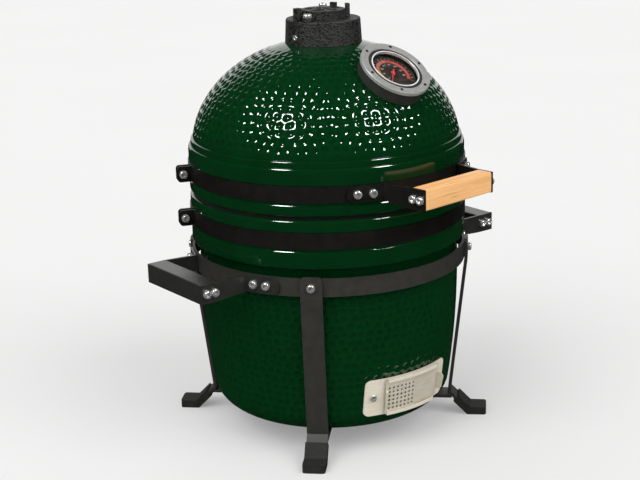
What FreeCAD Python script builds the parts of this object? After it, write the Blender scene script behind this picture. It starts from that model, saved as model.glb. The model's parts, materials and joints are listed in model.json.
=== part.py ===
# Small ceramic kamado: an egg-shaped charcoal grill on a four-legged strap-steel stand.
# Millimetres. +Z is up, the ground is z = 0, the pot's axis is the Z axis, the front faces -Y.
# An azimuth is counted from the front, positive towards +X, in degrees.
import FreeCAD, Part
import math
import os

Vec = FreeCAD.Vector
up = Vec(0, 0, 1)

margin = 5.0                # how far a cutting shape runs past what it cuts
near = 0.01                 # tolerance when edges are picked by their place

# Ceramic pot and lid
ceramicRadius = 171.0
wallThickness = 20.0
domeThickness = 18.0
groundClearance = 26.0
rimHeight = 301.0
rimRound = 4.0
smoothDepth = 58.0          # glazed plain stretch under the rim
waistStep = 9.0             # how far the textured wall sits inside the plain stretch
waistDrop = 11.0
waistRound = 4.0
edgeRound = 2.0
heelStep = 20.6
heelRise = 23.0
soleStep = 52.0
wallBulge = 4.2             # the textured wall bows out by this much half way up
innerRimStep = 23.0
innerCornerRise = 24.0
innerSoleStep = 62.0
lidRimToShoulder = 50.0
shoulderHeight = 6.5
domeStep = 5.0
domeHeight = 131.0
neckRadius = 42.0
neckWall = 12.0
neckRise = 145.0            # top of the neck above the dome's springing line

# Felt seals
gasketThickness = 1.9
gasketNip = 0.2
gasketWidth = 17.0

# Steel bands with clamp ears, and the hinge behind
bandHeight = 19.5
bandThickness = 2.2
grooveDepth = 1.2
grooveMargin = 0.5
bandGap = 0.2
baseBandDrop = 14.5
lidBandRise = 17.0
earAzimuth = 117.5
earThickness = 3.0
earHalfGap = 2.5
earReach = 19.0
earRound = 4.0
earRoot = 0.3               # ear starts this far into the band
earBoltReach = 10.0
hingeReach = 34.0           # pin beyond the ceramic
lugRadius = 12.0
lugThickness = 3.0
lidLugOffset = 30.0
lugGap = 1.0
pinRadius = 4.0
pinClearance = 0.08
pinPlay = 0.1
pinHeadRadius = 6.8
pinHeadHeight = 4.0
pinNutRadius = 7.0

# Firebox, fire ring and the two grates
linerGap = 5.0
linerThickness = 14.0
linerChamfer = 1.0
fireboxFootStep = 71.0
fireboxKneeRise = 22.0
fireboxDrop = 36.0          # firebox top below the waist
mouthHalfAngle = 12.0       # the firebox's opening behind the draft door
coalLedgeRise = 52.0
coalLedgeWidth = 11.0
coalGrateThickness = 6.0
coalHoleRadius = 7.0
coalHoleRings = ((0.26, 6), (0.52, 12), (0.78, 18))     # share of the grate's radius, count
grateClearance = 3.0
fireRingDrop = 12.0         # fire ring top below the pot's rim
ringGap = 7.0               # around the fire ring's top
cookLedgeDepth = 8.0
cookLedgeWidth = 9.0
rodRadius = 2.0
hoopRadius = 3.0
rodPitch = 14.0

# Stand
standTurn = -5.3            # the stand, pot and draft door sit turned by this against the lid
standRingHeight = 22.0
standRingThickness = 2.8
standRingOuter = 0.5        # outside the ceramic radius
standRingDrop = 11.0        # ring top below the plain stretch
legWidth = 25.8
legThickness = 4.0
legTopRise = 2.5
legCornerRound = 5.0
legClearance = 0.3
kneeRise = 4.0              # leg's knee above the pot's underside
toeReach = 19.0
shelfThickness = 4.0
shelfInset = 15.0
capWall = 3.0
capSideWall = 0.8
capClearance = 0.1
legBolt = 10.0              # below the ring's top edge
legAzimuths = {"front_left": -45.0, "front_right": 45.0, "rear_right": 135.0, "rear_left": -135.0}

# Fasteners
boltRadius = 2.5
boltClearance = 0.2
headRadius = 5.0
headHeight = 4.6
nutRadius = 4.6
nutHeight = 3.4
shankEnd = 1.5              # shank beyond its nut
headJoin = 0.5              # shank inside its head
socketShare = 0.52          # hexagon socket against the head's radius
domeShare = 0.45            # rounding and socket depth against the head's height
curveAllowance = 0.15       # keeps a flat nut or head off a curved strip

# Side handles: folded steel channel between two strap arms
sideGripLength = 110.0
sideGripReach = 35.0        # near face of the grip beyond the ceramic
sideGripDepth = 25.5
sideGripHeight = 23.0
sideGripWall = 2.5
sideGripRound = 2.0
sideRootAngle = 17.5
sideTabAngle = 32.5
sideBoltAngles = (21.5, 27.0)
armThickness = 3.0
sideArmHeight = 20.0

# Lid handle: wooden bar between two strap arms
lidGripLength = 112.0
lidGripReach = 27.5         # near face of the bar beyond the ceramic
lidGripDepth = 21.5
lidGripRound = 2.5
lidGripLow = -2.5           # against the band's middle
lidGripHeight = 24.6
lidRootAngle = 21.3
lidTabAngle = 36.0
lidBoltAngles = (26.0, 32.0)
lidArmHeight = 18.5
gripBoltSpacing = 10.8
lidGripScrew = 18.0         # how far the end screws run into the bar

# Draft door: window in the pot, steel frame, sliding door and sliding screen
draftTurn = 0.1             # against the stand
draftRise = 8.0             # window above the pot's inner floor
draftHeight = 30.0
draftHalfAngle = 15.0
frameHalfAngle = 24.0
frameBelow = 5.5
frameAbove = 12.5
frameRound = 7.0
frameOverlap = 1.0          # frame's opening inside the window's edges
sheet = 1.4
frameSeat = 0.6
slideGap = 0.5
lipHeight = 4.2
railHalfAngle = 13.6
slideClearance = 0.6
doorStart = 1.0
doorEnd = 17.0
screenStart = -14.4
screenEnd = 1.3
tabRise = 7.0
tabHeight = 21.0
tabReach = 10.0
tabRoundShare = 0.45
screenTabReach = 4.5
meshColumns = 7
meshRows = 6
meshPitch = 5.4
meshHole = 1.45
meshFirstAngle = -12.6
meshRise = 3.0
frameScrewAngle = 19.8
frameScrewDrop = 11.0       # below the window's top edge
frameScrewRadius = 2.2
frameScrewFit = 0.1
frameScrewLength = 8.5
frameScrewHead = 4.2
frameScrewRise = 2.4

# Thermometer: seated on the dome's front, its axis leaning back from the horizontal
gaugeLean = 55.0
gaugeSeatRadius = 114.1
glassRadius = 29.0
trimWidth = 1.3
rimWidth = 3.9
bezelWidth = 9.8
bezelThickness = 4.3
gaugeDepth = 9.2
housingInset = 2.5
housingDrop = 12.0          # housing's skirt below its seat, before it meets the dome
seatGap = 0.2
gaugeFit = 0.05
gaugeLift = 0.02
rimDrop = 1.4
trimDrop = 0.5
glassDrop = 1.8
glassThickness = 1.2
dialThickness = 0.8
dialSink = 5.0              # dial's underside below the bezel's
needleInset = 6.0
needleThickness = 0.6
needleHub = 2.6
needleLift = 0.4
needleBack = 7.0
needleTail = 1.1            # half widths at its tail and its point
needlePoint = 0.35
spindleRadius = 0.8
spindleRise = 1.4
spindleClearance = 0.06
needleRest = 225.0          # clockwise from the dial's top
bezelChamfer = 0.8
bezelScrewRadius = 1.7
bezelScrewRise = 1.0
bezelShank = 1.15
bezelScrewCount = 6
probeRadius = 3.0
probeLength = 72.0
probeClearance = 0.6
probeNutRadius = 9.0
probeNutGap = 5.5           # lid wall to the far face of the nut inside it
probeNutHeight = 5.0

# Cast-iron vent on the chimney neck
neckClearance = 0.3
neckSeat = 0.5
collarRound = 1.5
collarWall = 4.7
collarTaper = 1.5
collarRise = 10.0           # collar top above the neck
collarLip = 3.0             # the collar's opening inside the neck's
ventGap = 0.3
ventOverlap = 4.5
ventThickness = 4.0
ventStepInset = 2.5
ventStepHeight = 3.6
ventTabOut = 1.5
wheelInset = 2.0
wheelThickness = 2.4
wheelHubRadius = 9.0
wheelHubTop = 6.0
wheelHubHeight = 2.2
petalCount = 5
petalRadius = 5.2
petalCircle = 17.0
pivotAzimuth = -71.7
pivotBossRadius = 6.6
pivotGap = 0.6
pivotScrewRadius = 2.5
pivotClearance = 0.06
pivotHeadRadius = 5.4
pivotHeadHeight = 4.4
pivotThread = 5.0
stopAzimuth = -90.0
prongWidth = 8.0
prongDepth = 7.0
prongHeight = 15.5
tabDepth = 4.2
ventTabAzimuth = 61.0
wheelTabAzimuth = 105.0
collarScrewAzimuths = (-89.0, 91.0)
collarScrewRise = 10.0
collarScrewRadius = 3.4
collarScrewLift = 1.8
collarScrewSink = 0.3
collarShank = 2.1

# Heights and radii that follow
tall = 2 * rimHeight
probeNutDrop = max(wallThickness, domeThickness) + probeNutGap
smoothLow = rimHeight - smoothDepth
waistHeight = smoothLow - waistDrop
waistRadius = ceramicRadius - waistStep
heelRadius = ceramicRadius - heelStep
heelHeight = groundClearance + heelRise
soleRadius = ceramicRadius - soleStep
floorHeight = groundClearance + wallThickness
lidRim = rimHeight + 2 * gasketThickness + gasketNip
springHeight = lidRim + lidRimToShoulder
domeRadius = ceramicRadius - domeStep
bandInner = ceramicRadius - grooveDepth + bandGap
bandOuter = bandInner + bandThickness
baseBandLow = rimHeight - baseBandDrop - bandHeight
lidBandLow = lidRim + lidBandRise
standRingHigh = smoothLow - standRingDrop
standRingLow = standRingHigh - standRingHeight
standRadius = ceramicRadius + standRingOuter
gasketOuter = ceramicRadius - rimRound
fireboxTop = waistHeight - fireboxDrop
ringTop = rimHeight - fireRingDrop
hingeHeight = (rimHeight + lidRim) / 2
hingeDepth = ceramicRadius + hingeReach
kneeHeight = groundClearance + kneeRise
toeHeight = capWall + legThickness / 2
boltHoleRadius = boltRadius + boltClearance
sideGripInner = ceramicRadius + sideGripReach
sideGripOuter = sideGripInner + sideGripDepth
lidGripInner = ceramicRadius + lidGripReach
lidGripOuter = lidGripInner + lidGripDepth
draftLow = floorHeight + draftRise
draftHigh = draftLow + draftHeight
frameLow = draftLow - frameBelow
frameHigh = draftHigh + frameAbove
doorSeat = frameSeat + sheet + slideGap
screenSeat = doorSeat + sheet + slideGap
lipSeat = screenSeat + sheet + slideGap
tabLow = draftLow + tabRise
tabHigh = tabLow + tabHeight
trimRadius = glassRadius + trimWidth
dialHeight = gaugeDepth - dialSink
crownLow = springHeight + domeHeight - domeThickness
bezelInner = trimRadius + rimWidth
bezelRadius = bezelInner + bezelWidth
bezelScrewCircle = bezelInner + bezelWidth / 2
housingRadius = bezelRadius - housingInset
neckTop = springHeight + neckRise
flueRadius = neckRadius - neckWall
collarBore = neckRadius + neckClearance
collarRadius = collarBore + collarWall
collarTopRadius = collarRadius - collarTaper
collarTop = neckTop + collarRise
collarFlue = flueRadius - collarLip
ventRadius = collarFlue + ventOverlap
ventStepRadius = ventRadius - ventStepInset
wheelRadius = ventStepRadius - wheelInset
pivotReach = ventRadius + pivotBossRadius + pivotGap
stopReach = collarTopRadius - prongDepth / 2 - neckSeat
gaugeAxis = Vec(0, -math.cos(math.radians(gaugeLean)), math.sin(math.radians(gaugeLean)))


def polar(radius, azimuth, height=0.0):
    angle = math.radians(azimuth)
    return Vec(radius * math.sin(angle), -radius * math.cos(angle), height)


def turned(shape, azimuth):
    copy = shape.copy()
    copy.rotate(Vec(0, 0, 0), up, azimuth)
    return copy


def placed(shape, origin, direction):
    copy = shape.copy()
    copy.Placement = FreeCAD.Placement(origin, FreeCAD.Rotation(up, direction)).multiply(copy.Placement)
    return copy


def fused(shapes):
    shapes = list(shapes)
    return shapes[0].multiFuse(shapes[1:]).removeSplitter()


def rounded(start, corner, end):
    # The arc from start to end that replaces a sharp corner.
    centre = (start[0] + end[0] - corner[0], start[1] + end[1] - corner[1])
    via = tuple(c + (k - c) * math.sqrt(0.5) for c, k in zip(centre, corner))
    return via, end


def levelArc(start, end):
    # The arc that leaves start level and ends at end.
    run, rise = end[0] - start[0], end[1] - start[1]
    radius = (run * run + rise * rise) / (2 * rise)
    half = math.atan2(rise, run)
    via = (start[0] + radius * math.sin(half), start[1] + radius * (1 - math.cos(half)))
    return via, end


def outline(first, *steps):
    # A half section in (radius, height): a pair ends a straight run, a rounded() step is an arc,
    # and an (edge, pair) step is a ready-made curve and its end.
    here = first
    edges = []
    for step in steps + (first,):
        start = Vec(here[0], 0, here[1])
        if isinstance(step[0], Part.Shape):
            edges.append(step[0])
            here = step[1]
        elif isinstance(step[0], tuple):
            via, end = (Vec(pair[0], 0, pair[1]) for pair in step)
            edges.append(Part.Arc(start, via, end).toShape())
            here = step[1]
        else:
            edges.append(Part.LineSegment(start, Vec(step[0], 0, step[1])).toShape())
            here = step
    return Part.Face(Part.Wire(edges))


def spun(face, start=0.0, end=360.0):
    return turned(face, start - 90).revolve(Vec(0, 0, 0), up, end - start)


def ringSector(inner, outer, low, high, start=0.0, end=360.0):
    return spun(outline((inner, low), (outer, low), (outer, high), (inner, high)), start, end)


def rod(radius, start, direction, length):
    return Part.makeCylinder(radius, length, start, direction)


def radialHole(radius, azimuth, height, start, end):
    return rod(radius, polar(start, azimuth, height), polar(1, azimuth), end - start)


def prism(points, direction):
    # A closed polygon swept along a vector.
    return Part.Face(Part.makePolygon(points + points[:1])).extrude(direction)


def hexagon(radius, low, height):
    corners = [Vec(radius * math.cos(math.radians(60 * k)), radius * math.sin(math.radians(60 * k)), low)
               for k in range(6)]
    return prism(corners, Vec(0, 0, height))


def boltHead(radius, height):
    # Domed head with a hexagon socket, standing on z = 0.
    body = Part.makeCylinder(radius, height)
    top = [edge for edge in body.Edges if edge.BoundBox.ZMin > height - near]
    body = body.makeFillet(height * domeShare, top)
    return body.cut(hexagon(radius * socketShare, height * domeShare, height))


def bolt(grip, nut=True, radius=boltRadius, head=headRadius, rise=headHeight):
    # Head above z = 0, shank down through the grip, and a nut below it.
    length = grip + nutHeight + shankEnd if nut else grip
    shapes = [boltHead(head, rise), rod(radius, Vec(0, 0, headJoin), -up, length + headJoin)]
    if nut:
        shapes.append(hexagon(nutRadius, -grip - nutHeight, nutHeight))
    return fused(shapes)


def radialBolt(azimuth, height, faceRadius, grip, **options):
    return placed(bolt(grip, **options), polar(faceRadius, azimuth, height), polar(1, azimuth))


def strip(points, thickness):
    # A bent flat strip's section: the centre line offset both ways, with mitred bends.
    sides = [[], []]
    for k, (radius, height) in enumerate(points):
        before = points[k - 1] if k else None
        after = points[k + 1] if k + 1 < len(points) else None
        normals = []
        for a, b in ((before, points[k]), (points[k], after)):
            if a and b:
                run = math.hypot(b[0] - a[0], b[1] - a[1])
                normals.append(((b[1] - a[1]) / run, (a[0] - b[0]) / run))
        nx = sum(n[0] for n in normals) / len(normals)
        nz = sum(n[1] for n in normals) / len(normals)
        scale = thickness / 2 / (nx * nx + nz * nz)
        for side, sign in zip(sides, (1, -1)):
            side.append(Vec(0, -(radius + sign * nx * scale), height + sign * nz * scale))
    return sides[0] + sides[1][::-1]


def stripSolid(points, thickness, width):
    section = [p + Vec(-width / 2, 0, 0) for p in strip(points, thickness)]
    return prism(section, Vec(width, 0, 0))


# Pot

def wallCircle():
    # Centre and radius of the arc that the textured wall follows.
    a = (heelRadius, heelHeight)
    c = (waistRadius, waistHeight)
    half = math.hypot(c[0] - a[0], c[1] - a[1]) / 2
    radius = (half * half + wallBulge * wallBulge) / (2 * wallBulge)
    run = ((c[0] - a[0]) / (2 * half), (c[1] - a[1]) / (2 * half))
    back = radius - wallBulge
    centre = ((a[0] + c[0]) / 2 - run[1] * back, (a[1] + c[1]) / 2 + run[0] * back)
    return centre, radius


def wallRadius(height, inset=0.0):
    centre, radius = wallCircle()
    return centre[0] + math.sqrt((radius - inset) ** 2 - (height - centre[1]) ** 2)


def wallArc(low, high, inset=0.0):
    # The wall's arc as an outline step that ends at high, which may lie below low.
    middle = (low + high) / 2
    return (wallRadius(middle, inset), middle), (wallRadius(high, inset), high)


def baseShell():
    grooveLow = baseBandLow - grooveMargin
    grooveHigh = baseBandLow + bandHeight + grooveMargin
    grooveRadius = ceramicRadius - grooveDepth
    cornerHeight = floorHeight + innerCornerRise
    innerSole = (ceramicRadius - innerSoleStep, floorHeight)
    innerCorner = (wallRadius(cornerHeight, wallThickness), cornerHeight)
    innerWaist = (wallRadius(waistHeight, wallThickness), waistHeight)
    rimTurn = rounded((ceramicRadius, rimHeight - rimRound), (ceramicRadius, rimHeight),
                      (ceramicRadius - rimRound, rimHeight))
    shoulder = rounded((waistRadius, waistHeight), (waistRadius, smoothLow),
                       (waistRadius + waistRound, smoothLow))
    edge = ceramicRadius - edgeRound
    half = outline(
        (0, groundClearance),
        (soleRadius, groundClearance),
        levelArc((soleRadius, groundClearance), (heelRadius, heelHeight)),
        wallArc(heelHeight, waistHeight),
        shoulder,
        (edge, smoothLow),
        rounded((edge, smoothLow), (ceramicRadius, smoothLow), (ceramicRadius, smoothLow + edgeRound)),
        (ceramicRadius, grooveLow),
        (grooveRadius, grooveLow),
        (grooveRadius, grooveHigh),
        (ceramicRadius, grooveHigh),
        (ceramicRadius, rimHeight - rimRound),
        rimTurn,
        (ceramicRadius - innerRimStep, rimHeight),
        innerWaist,
        wallArc(waistHeight, cornerHeight, wallThickness),
        (levelArc(innerSole, innerCorner)[0], innerSole),
        (0, floorHeight))
    window = ringSector(heelRadius - 2 * wallThickness, ceramicRadius, draftLow, draftHigh,
                        -draftHalfAngle, draftHalfAngle)
    pot = spun(half).cut(turned(window, standTurn + draftTurn))
    for azimuth in (-frameScrewAngle, frameScrewAngle):
        pot = pot.cut(radialHole(frameScrewRadius + frameScrewFit, azimuth + standTurn + draftTurn,
                                 frameScrewHeight(), heelRadius - frameScrewLength, ceramicRadius))
    return pot


def gasket(low):
    return ringSector(gasketOuter - gasketWidth, gasketOuter, low, low + gasketThickness)


# Inside the pot

def linerRadius(height):
    return wallRadius(height, wallThickness) - linerGap


def firebox():
    foot = ceramicRadius - fireboxFootStep
    knee = floorHeight + fireboxKneeRise
    ledge = floorHeight + coalLedgeRise
    middle = (knee + fireboxTop) / 2
    outerWall = (linerRadius(middle), middle), (linerRadius(fireboxTop), fireboxTop)
    topInner = linerRadius(fireboxTop) - linerThickness
    ledgeInner = linerRadius(ledge) - linerThickness
    half = outline(
        (0, floorHeight),
        (foot, floorHeight),
        (linerRadius(knee) - linerChamfer, knee),
        (linerRadius(knee), knee + 2 * linerChamfer),
        outerWall,
        (topInner, fireboxTop),
        (ledgeInner, ledge),
        (ledgeInner - coalLedgeWidth, ledge),
        (foot - linerThickness, floorHeight + linerThickness),
        (0, floorHeight + linerThickness))
    bowl = spun(half)
    mouth = ringSector(foot / 2, ceramicRadius, floorHeight + linerThickness, draftHigh,
                       -mouthHalfAngle, mouthHalfAngle)
    return bowl.cut(turned(mouth, standTurn + draftTurn))


def fireRing():
    outer = (linerRadius(fireboxTop), fireboxTop)
    outerTop = (ceramicRadius - innerRimStep - ringGap, ringTop)
    inner = outer[0] - linerThickness
    seat = ringTop - cookLedgeDepth
    outerWaist = (waistRadius - wallThickness - linerGap + linerChamfer, waistHeight)
    half = outline(outer, outerWaist, outerTop,
                   (inner + cookLedgeWidth, ringTop), (inner + cookLedgeWidth, seat), (inner, seat),
                   (inner, fireboxTop))
    return spun(half)


def cookGrateRadius():
    return linerRadius(fireboxTop) - linerThickness + cookLedgeWidth - grateClearance


def cookingGrate():
    hoopLine = cookGrateRadius() - hoopRadius
    height = ringTop - cookLedgeDepth + hoopRadius
    hoop = Part.makeTorus(hoopLine, hoopRadius)
    bars = []
    count = int((hoopLine - hoopRadius) / rodPitch)
    for k in range(-count, count + 1):
        half = math.sqrt(hoopLine ** 2 - (k * rodPitch) ** 2)
        bars.append(rod(rodRadius, Vec(k * rodPitch, -half, 0), Vec(0, 1, 0), 2 * half))
    for y in (-hoopLine / 2, hoopLine / 2):
        half = math.sqrt(hoopLine ** 2 - y ** 2)
        bars.append(rod(rodRadius, Vec(-half, y, -rodRadius / 2), Vec(1, 0, 0), 2 * half))
    grate = hoop.multiFuse(bars)
    grate.translate(Vec(0, 0, height))
    return turned(grate, standTurn)


def charcoalGrate():
    ledge = floorHeight + coalLedgeRise
    radius = linerRadius(ledge) - linerThickness - grateClearance
    disc = Part.makeCylinder(radius, coalGrateThickness, Vec(0, 0, ledge))
    low = ledge - margin
    holes = [rod(coalHoleRadius, Vec(0, 0, low), up, coalGrateThickness + 2 * margin)]
    for circle, count in coalHoleRings:
        for k in range(count):
            spot = polar(circle * radius, 360 / count * k, low)
            holes.append(rod(coalHoleRadius, spot, up, coalGrateThickness + 2 * margin))
    return disc.cut(Part.makeCompound(holes))


# Bands, ears and hinge

def ear(azimuth, offset, low):
    # A clamp plate square to the band, offset along the tangent from its azimuth.
    middle = low + bandHeight / 2
    plate = Part.makeBox(earThickness, earReach, bandHeight,
                         Vec(offset, -bandInner - earReach - earRoot, low))
    tip = [edge for edge in plate.Edges
           if edge.BoundBox.YMax < -bandInner - earReach and edge.BoundBox.ZLength < near]
    plate = plate.makeFillet(earRound, tip)
    hole = rod(boltHoleRadius, Vec(offset - margin, -bandOuter - earBoltReach, middle), Vec(1, 0, 0),
               earThickness + 2 * margin)
    return turned(plate.cut(hole), azimuth)


def frontBand(low, holes=()):
    end = earAzimuth - math.degrees(earHalfGap / bandInner)
    shapes = [ringSector(bandInner, bandOuter, low, low + bandHeight, -end, end),
              ear(earAzimuth, -earHalfGap - earThickness, low),
              ear(-earAzimuth, earHalfGap, low)]
    band = fused(shapes)
    for azimuth in holes:
        band = band.cut(radialHole(boltHoleRadius, azimuth, low + bandHeight / 2, bandInner - margin,
                                   bandOuter + margin))
    return band


def cheek(offset, low):
    # A hinge cheek: from the strap, out and up or down to an eye on the pin.
    root = math.sqrt((bandInner + bandThickness / 2) ** 2 - (offset + lugThickness) ** 2)
    lean = lugRadius * math.sqrt(0.5)
    rise = lean if hingeHeight > low else -lean
    points = [Vec(offset, root, low), Vec(offset, root, low + bandHeight),
              Vec(offset, hingeDepth - rise, hingeHeight + lean),
              Vec(offset, hingeDepth + rise, hingeHeight - lean)]
    arm = prism(points, Vec(lugThickness, 0, 0))
    eye = rod(lugRadius, Vec(offset, hingeDepth, hingeHeight), Vec(1, 0, 0), lugThickness)
    hole = rod(pinRadius + pinClearance, Vec(offset - margin, hingeDepth, hingeHeight), Vec(1, 0, 0),
               lugThickness + 2 * margin)
    return arm.fuse(eye).cut(hole)


def hingeStrap(low, lugOffset):
    # The rear half of a band, with its two ears and the hinge cheeks.
    end = earAzimuth + math.degrees(earHalfGap / bandInner)
    right = cheek(lugOffset, low)
    return fused([ringSector(bandInner, bandOuter, low, low + bandHeight, end, 360 - end),
                  ear(earAzimuth, earHalfGap, low),
                  ear(-earAzimuth, -earHalfGap - earThickness, low),
                  right, right.mirror(Vec(0, 0, 0), Vec(1, 0, 0))])


def baseLugOffset():
    return lidLugOffset + lugThickness + lugGap


def hingePin():
    half = baseLugOffset() + lugThickness
    shank = rod(pinRadius, Vec(-half - nutHeight - shankEnd, hingeDepth, hingeHeight), Vec(1, 0, 0),
                2 * half + nutHeight + shankEnd + headJoin)
    head = placed(boltHead(pinHeadRadius, pinHeadHeight), Vec(half + pinPlay, hingeDepth, hingeHeight),
                  Vec(1, 0, 0))
    return fused([shank, head])


def hingeNut():
    half = baseLugOffset() + lugThickness
    nut = hexagon(pinNutRadius, 0, nutHeight).cut(Part.makeCylinder(pinRadius, nutHeight))
    return placed(nut, Vec(-half - pinPlay, hingeDepth, hingeHeight), Vec(-1, 0, 0))


def bandBolts(low):
    # One bolt through each pair of ears, head towards the front.
    grip = 2 * (earHalfGap + earThickness)
    reach = bandOuter + earBoltReach
    bolts = []
    for side in (1, -1):
        start = Vec(-side * grip / 2, -reach, low + bandHeight / 2)
        bolts.append(turned(placed(bolt(grip), start, Vec(-side, 0, 0)), side * earAzimuth))
    return Part.makeCompound(bolts)


# Stand

def legBoltHeight():
    return standRingHigh - legBolt


def standRing():
    ring = ringSector(standRadius - standRingThickness, standRadius, standRingLow, standRingHigh)
    holes = [(azimuth, legBoltHeight()) for azimuth in legAzimuths.values()]
    middle = (standRingLow + standRingHigh) / 2
    for side in (-90, 90):
        for angle in sideBoltAngles:
            holes += [(side - angle, middle), (side + angle, middle)]
    for azimuth, height in holes:
        ring = ring.cut(radialHole(boltHoleRadius, azimuth, height, standRadius - margin,
                                   standRadius + margin))
    return turned(ring, standTurn)


def legLine():
    top = standRadius + bandGap + legThickness / 2
    knee = heelRadius + legClearance + legThickness / 2
    ankle = knee + kneeHeight - toeHeight
    return [(top, standRingHigh + legTopRise), (top, standRingLow - 2), (knee, kneeHeight),
            (ankle, toeHeight), (ankle + toeReach, toeHeight)]


def leg(azimuth):
    points = legLine()
    strap = stripSolid(points, legThickness, legWidth)
    high = points[0][1]
    corners = [edge for edge in strap.Edges
               if edge.BoundBox.ZMin > high - near and edge.BoundBox.XLength < near]
    strap = strap.makeFillet(legCornerRound, corners)
    shelfStart = soleRadius - shelfInset
    shelf = Part.makeBox(legWidth, points[2][0] + 3 - shelfStart, shelfThickness,
                         Vec(-legWidth / 2, -points[2][0] - 3, groundClearance - shelfThickness))
    hole = radialHole(boltHoleRadius, 0, legBoltHeight(), standRadius - margin,
                      standRadius + legThickness + margin)
    return turned(fused([strap, shelf]).cut(hole), azimuth + standTurn)


def footCap(azimuth):
    knee, ankle, toe = legLine()[2:]
    drop = groundClearance - shelfThickness - 1
    start = (knee[0] + kneeHeight - drop, drop)
    outer = stripSolid([start, ankle, (toe[0] + capWall, toeHeight)], legThickness + 2 * capWall,
                       legWidth + 2 * capSideWall)
    before = (start[0] - 9, start[1] + 9)
    inner = stripSolid([before, ankle, (toe[0] + capClearance, toeHeight)],
                       legThickness + 2 * capClearance, legWidth + 2 * capClearance)
    tip = [edge for edge in outer.Edges
           if edge.BoundBox.YMax < -toe[0] - capWall + near and edge.BoundBox.XLength < near]
    return turned(outer.makeFillet(4, tip).cut(inner), azimuth + standTurn)


def legBolts():
    grip = legThickness + bandGap + standRingThickness + curveAllowance
    face = standRadius + bandGap + legThickness
    return Part.makeCompound([radialBolt(azimuth + standTurn, legBoltHeight(), face, grip)
                              for azimuth in legAzimuths.values()])


# Handles

def handleArm(side, seat, rootAngle, tabAngle, boltAngles, gripHalf, gripInner, gripOuter,
              middle, rootHeight, gripHeight, gripMiddle):
    # A strap arm: riveted tab along the band, bend, then straight out to an end plate.
    root = polar(seat, rootAngle)
    nearEnd = Vec(gripHalf, -gripInner, 0)
    farEnd = Vec(gripHalf, -gripOuter, 0)
    across = Vec(armThickness, 0, 0)
    plan = prism([root, nearEnd, farEnd, farEnd + across, nearEnd + across, root + across], up * tall)
    low = middle - rootHeight / 2
    gripLow = gripMiddle - gripHeight / 2
    elevation = prism([Vec(0, -seat + rootHeight, low), Vec(0, root.y, low), Vec(0, -gripInner, gripLow),
                       Vec(0, -gripOuter, gripLow), Vec(0, -gripOuter, gripLow + gripHeight),
                       Vec(0, -gripInner, gripLow + gripHeight), Vec(0, root.y, low + rootHeight),
                       Vec(0, -seat + rootHeight, low + rootHeight)], Vec(gripInner, 0, 0))
    arm = plan.common(elevation)
    outer = seat + armThickness
    tabTurn = tabAngle - math.degrees(rootHeight / 2 / seat)
    tab = ringSector(seat, outer, low, low + rootHeight, rootAngle, tabTurn)
    disc = radialHole(rootHeight / 2, tabTurn, middle, seat - 20, outer + 20)
    tip = ringSector(seat, outer, low, low + rootHeight, tabTurn - 4, tabAngle).common(disc)
    shape = fused([arm, tab, tip])
    for angle in boltAngles:
        shape = shape.cut(radialHole(boltHoleRadius, angle, middle, seat - margin, outer + margin))
    for depth in gripBoltDepths(gripInner, gripOuter):
        shape = shape.cut(rod(boltHoleRadius, Vec(gripHalf - margin, -depth, gripMiddle), Vec(1, 0, 0),
                              armThickness + 2 * margin))
    return shape if side > 0 else shape.mirror(Vec(0, 0, 0), Vec(1, 0, 0))


def gripBoltDepths(inner, outer):
    middle = (inner + outer) / 2
    return middle - gripBoltSpacing / 2, middle + gripBoltSpacing / 2


def sideMiddle():
    return (standRingLow + standRingHigh) / 2


def sideArm(turn, side):
    arm = handleArm(side, standRadius + bandGap, sideRootAngle, sideTabAngle, sideBoltAngles,
                    sideGripLength / 2, sideGripInner, sideGripOuter,
                    sideMiddle(), sideArmHeight, sideGripHeight, sideMiddle())
    return turned(arm, turn + standTurn)


def sideGrip(turn):
    # Folded channel, open below, with a flange at each end for the bolts.
    low = sideMiddle() - sideGripHeight / 2
    block = Part.makeBox(sideGripLength, sideGripDepth, sideGripHeight,
                         Vec(-sideGripLength / 2, -sideGripOuter, low))
    folds = [edge for edge in block.Edges
             if edge.BoundBox.ZMin > low + sideGripHeight - near and edge.BoundBox.XLength > 1]
    block = block.makeFillet(sideGripRound, folds)
    hollow = Part.makeBox(sideGripLength - 2 * sideGripWall, sideGripDepth - 2 * sideGripWall,
                          sideGripHeight - sideGripWall,
                          Vec(-sideGripLength / 2 + sideGripWall, -sideGripOuter + sideGripWall, low))
    shape = block.cut(hollow)
    for depth in gripBoltDepths(sideGripInner, sideGripOuter):
        shape = shape.cut(rod(boltHoleRadius, Vec(-sideGripLength, -depth, sideMiddle()), Vec(1, 0, 0),
                              2 * sideGripLength))
    return turned(shape, turn + standTurn)


def gripBolts(half, inner, outer, height, grip, nut):
    bolts = []
    for side in (1, -1):
        for depth in gripBoltDepths(inner, outer):
            start = Vec(side * (half + armThickness), -depth, height)
            bolts.append(placed(bolt(grip, nut=nut), start, Vec(side, 0, 0)))
    return bolts


def sideHandleBolts():
    face = standRadius + bandGap + armThickness
    grip = armThickness + bandGap + standRingThickness + curveAllowance
    bolts = []
    for turn in (-90, 90):
        for angle in sideBoltAngles:
            for side in (1, -1):
                bolts.append(radialBolt(turn + standTurn + side * angle, sideMiddle(), face, grip))
        for shape in gripBolts(sideGripLength / 2, sideGripInner,
                               sideGripOuter, sideMiddle(),
                               armThickness + sideGripWall, True):
            bolts.append(turned(shape, turn + standTurn))
    return Part.makeCompound(bolts)


def lidBandMiddle():
    return lidBandLow + bandHeight / 2


def lidGripMiddle():
    return lidBandMiddle() + lidGripLow


def lidArm(side):
    return handleArm(side, bandOuter + bandGap, lidRootAngle, lidTabAngle, lidBoltAngles,
                     lidGripLength / 2, lidGripInner, lidGripOuter,
                     lidBandMiddle(), lidArmHeight, lidGripHeight, lidGripMiddle())


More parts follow.
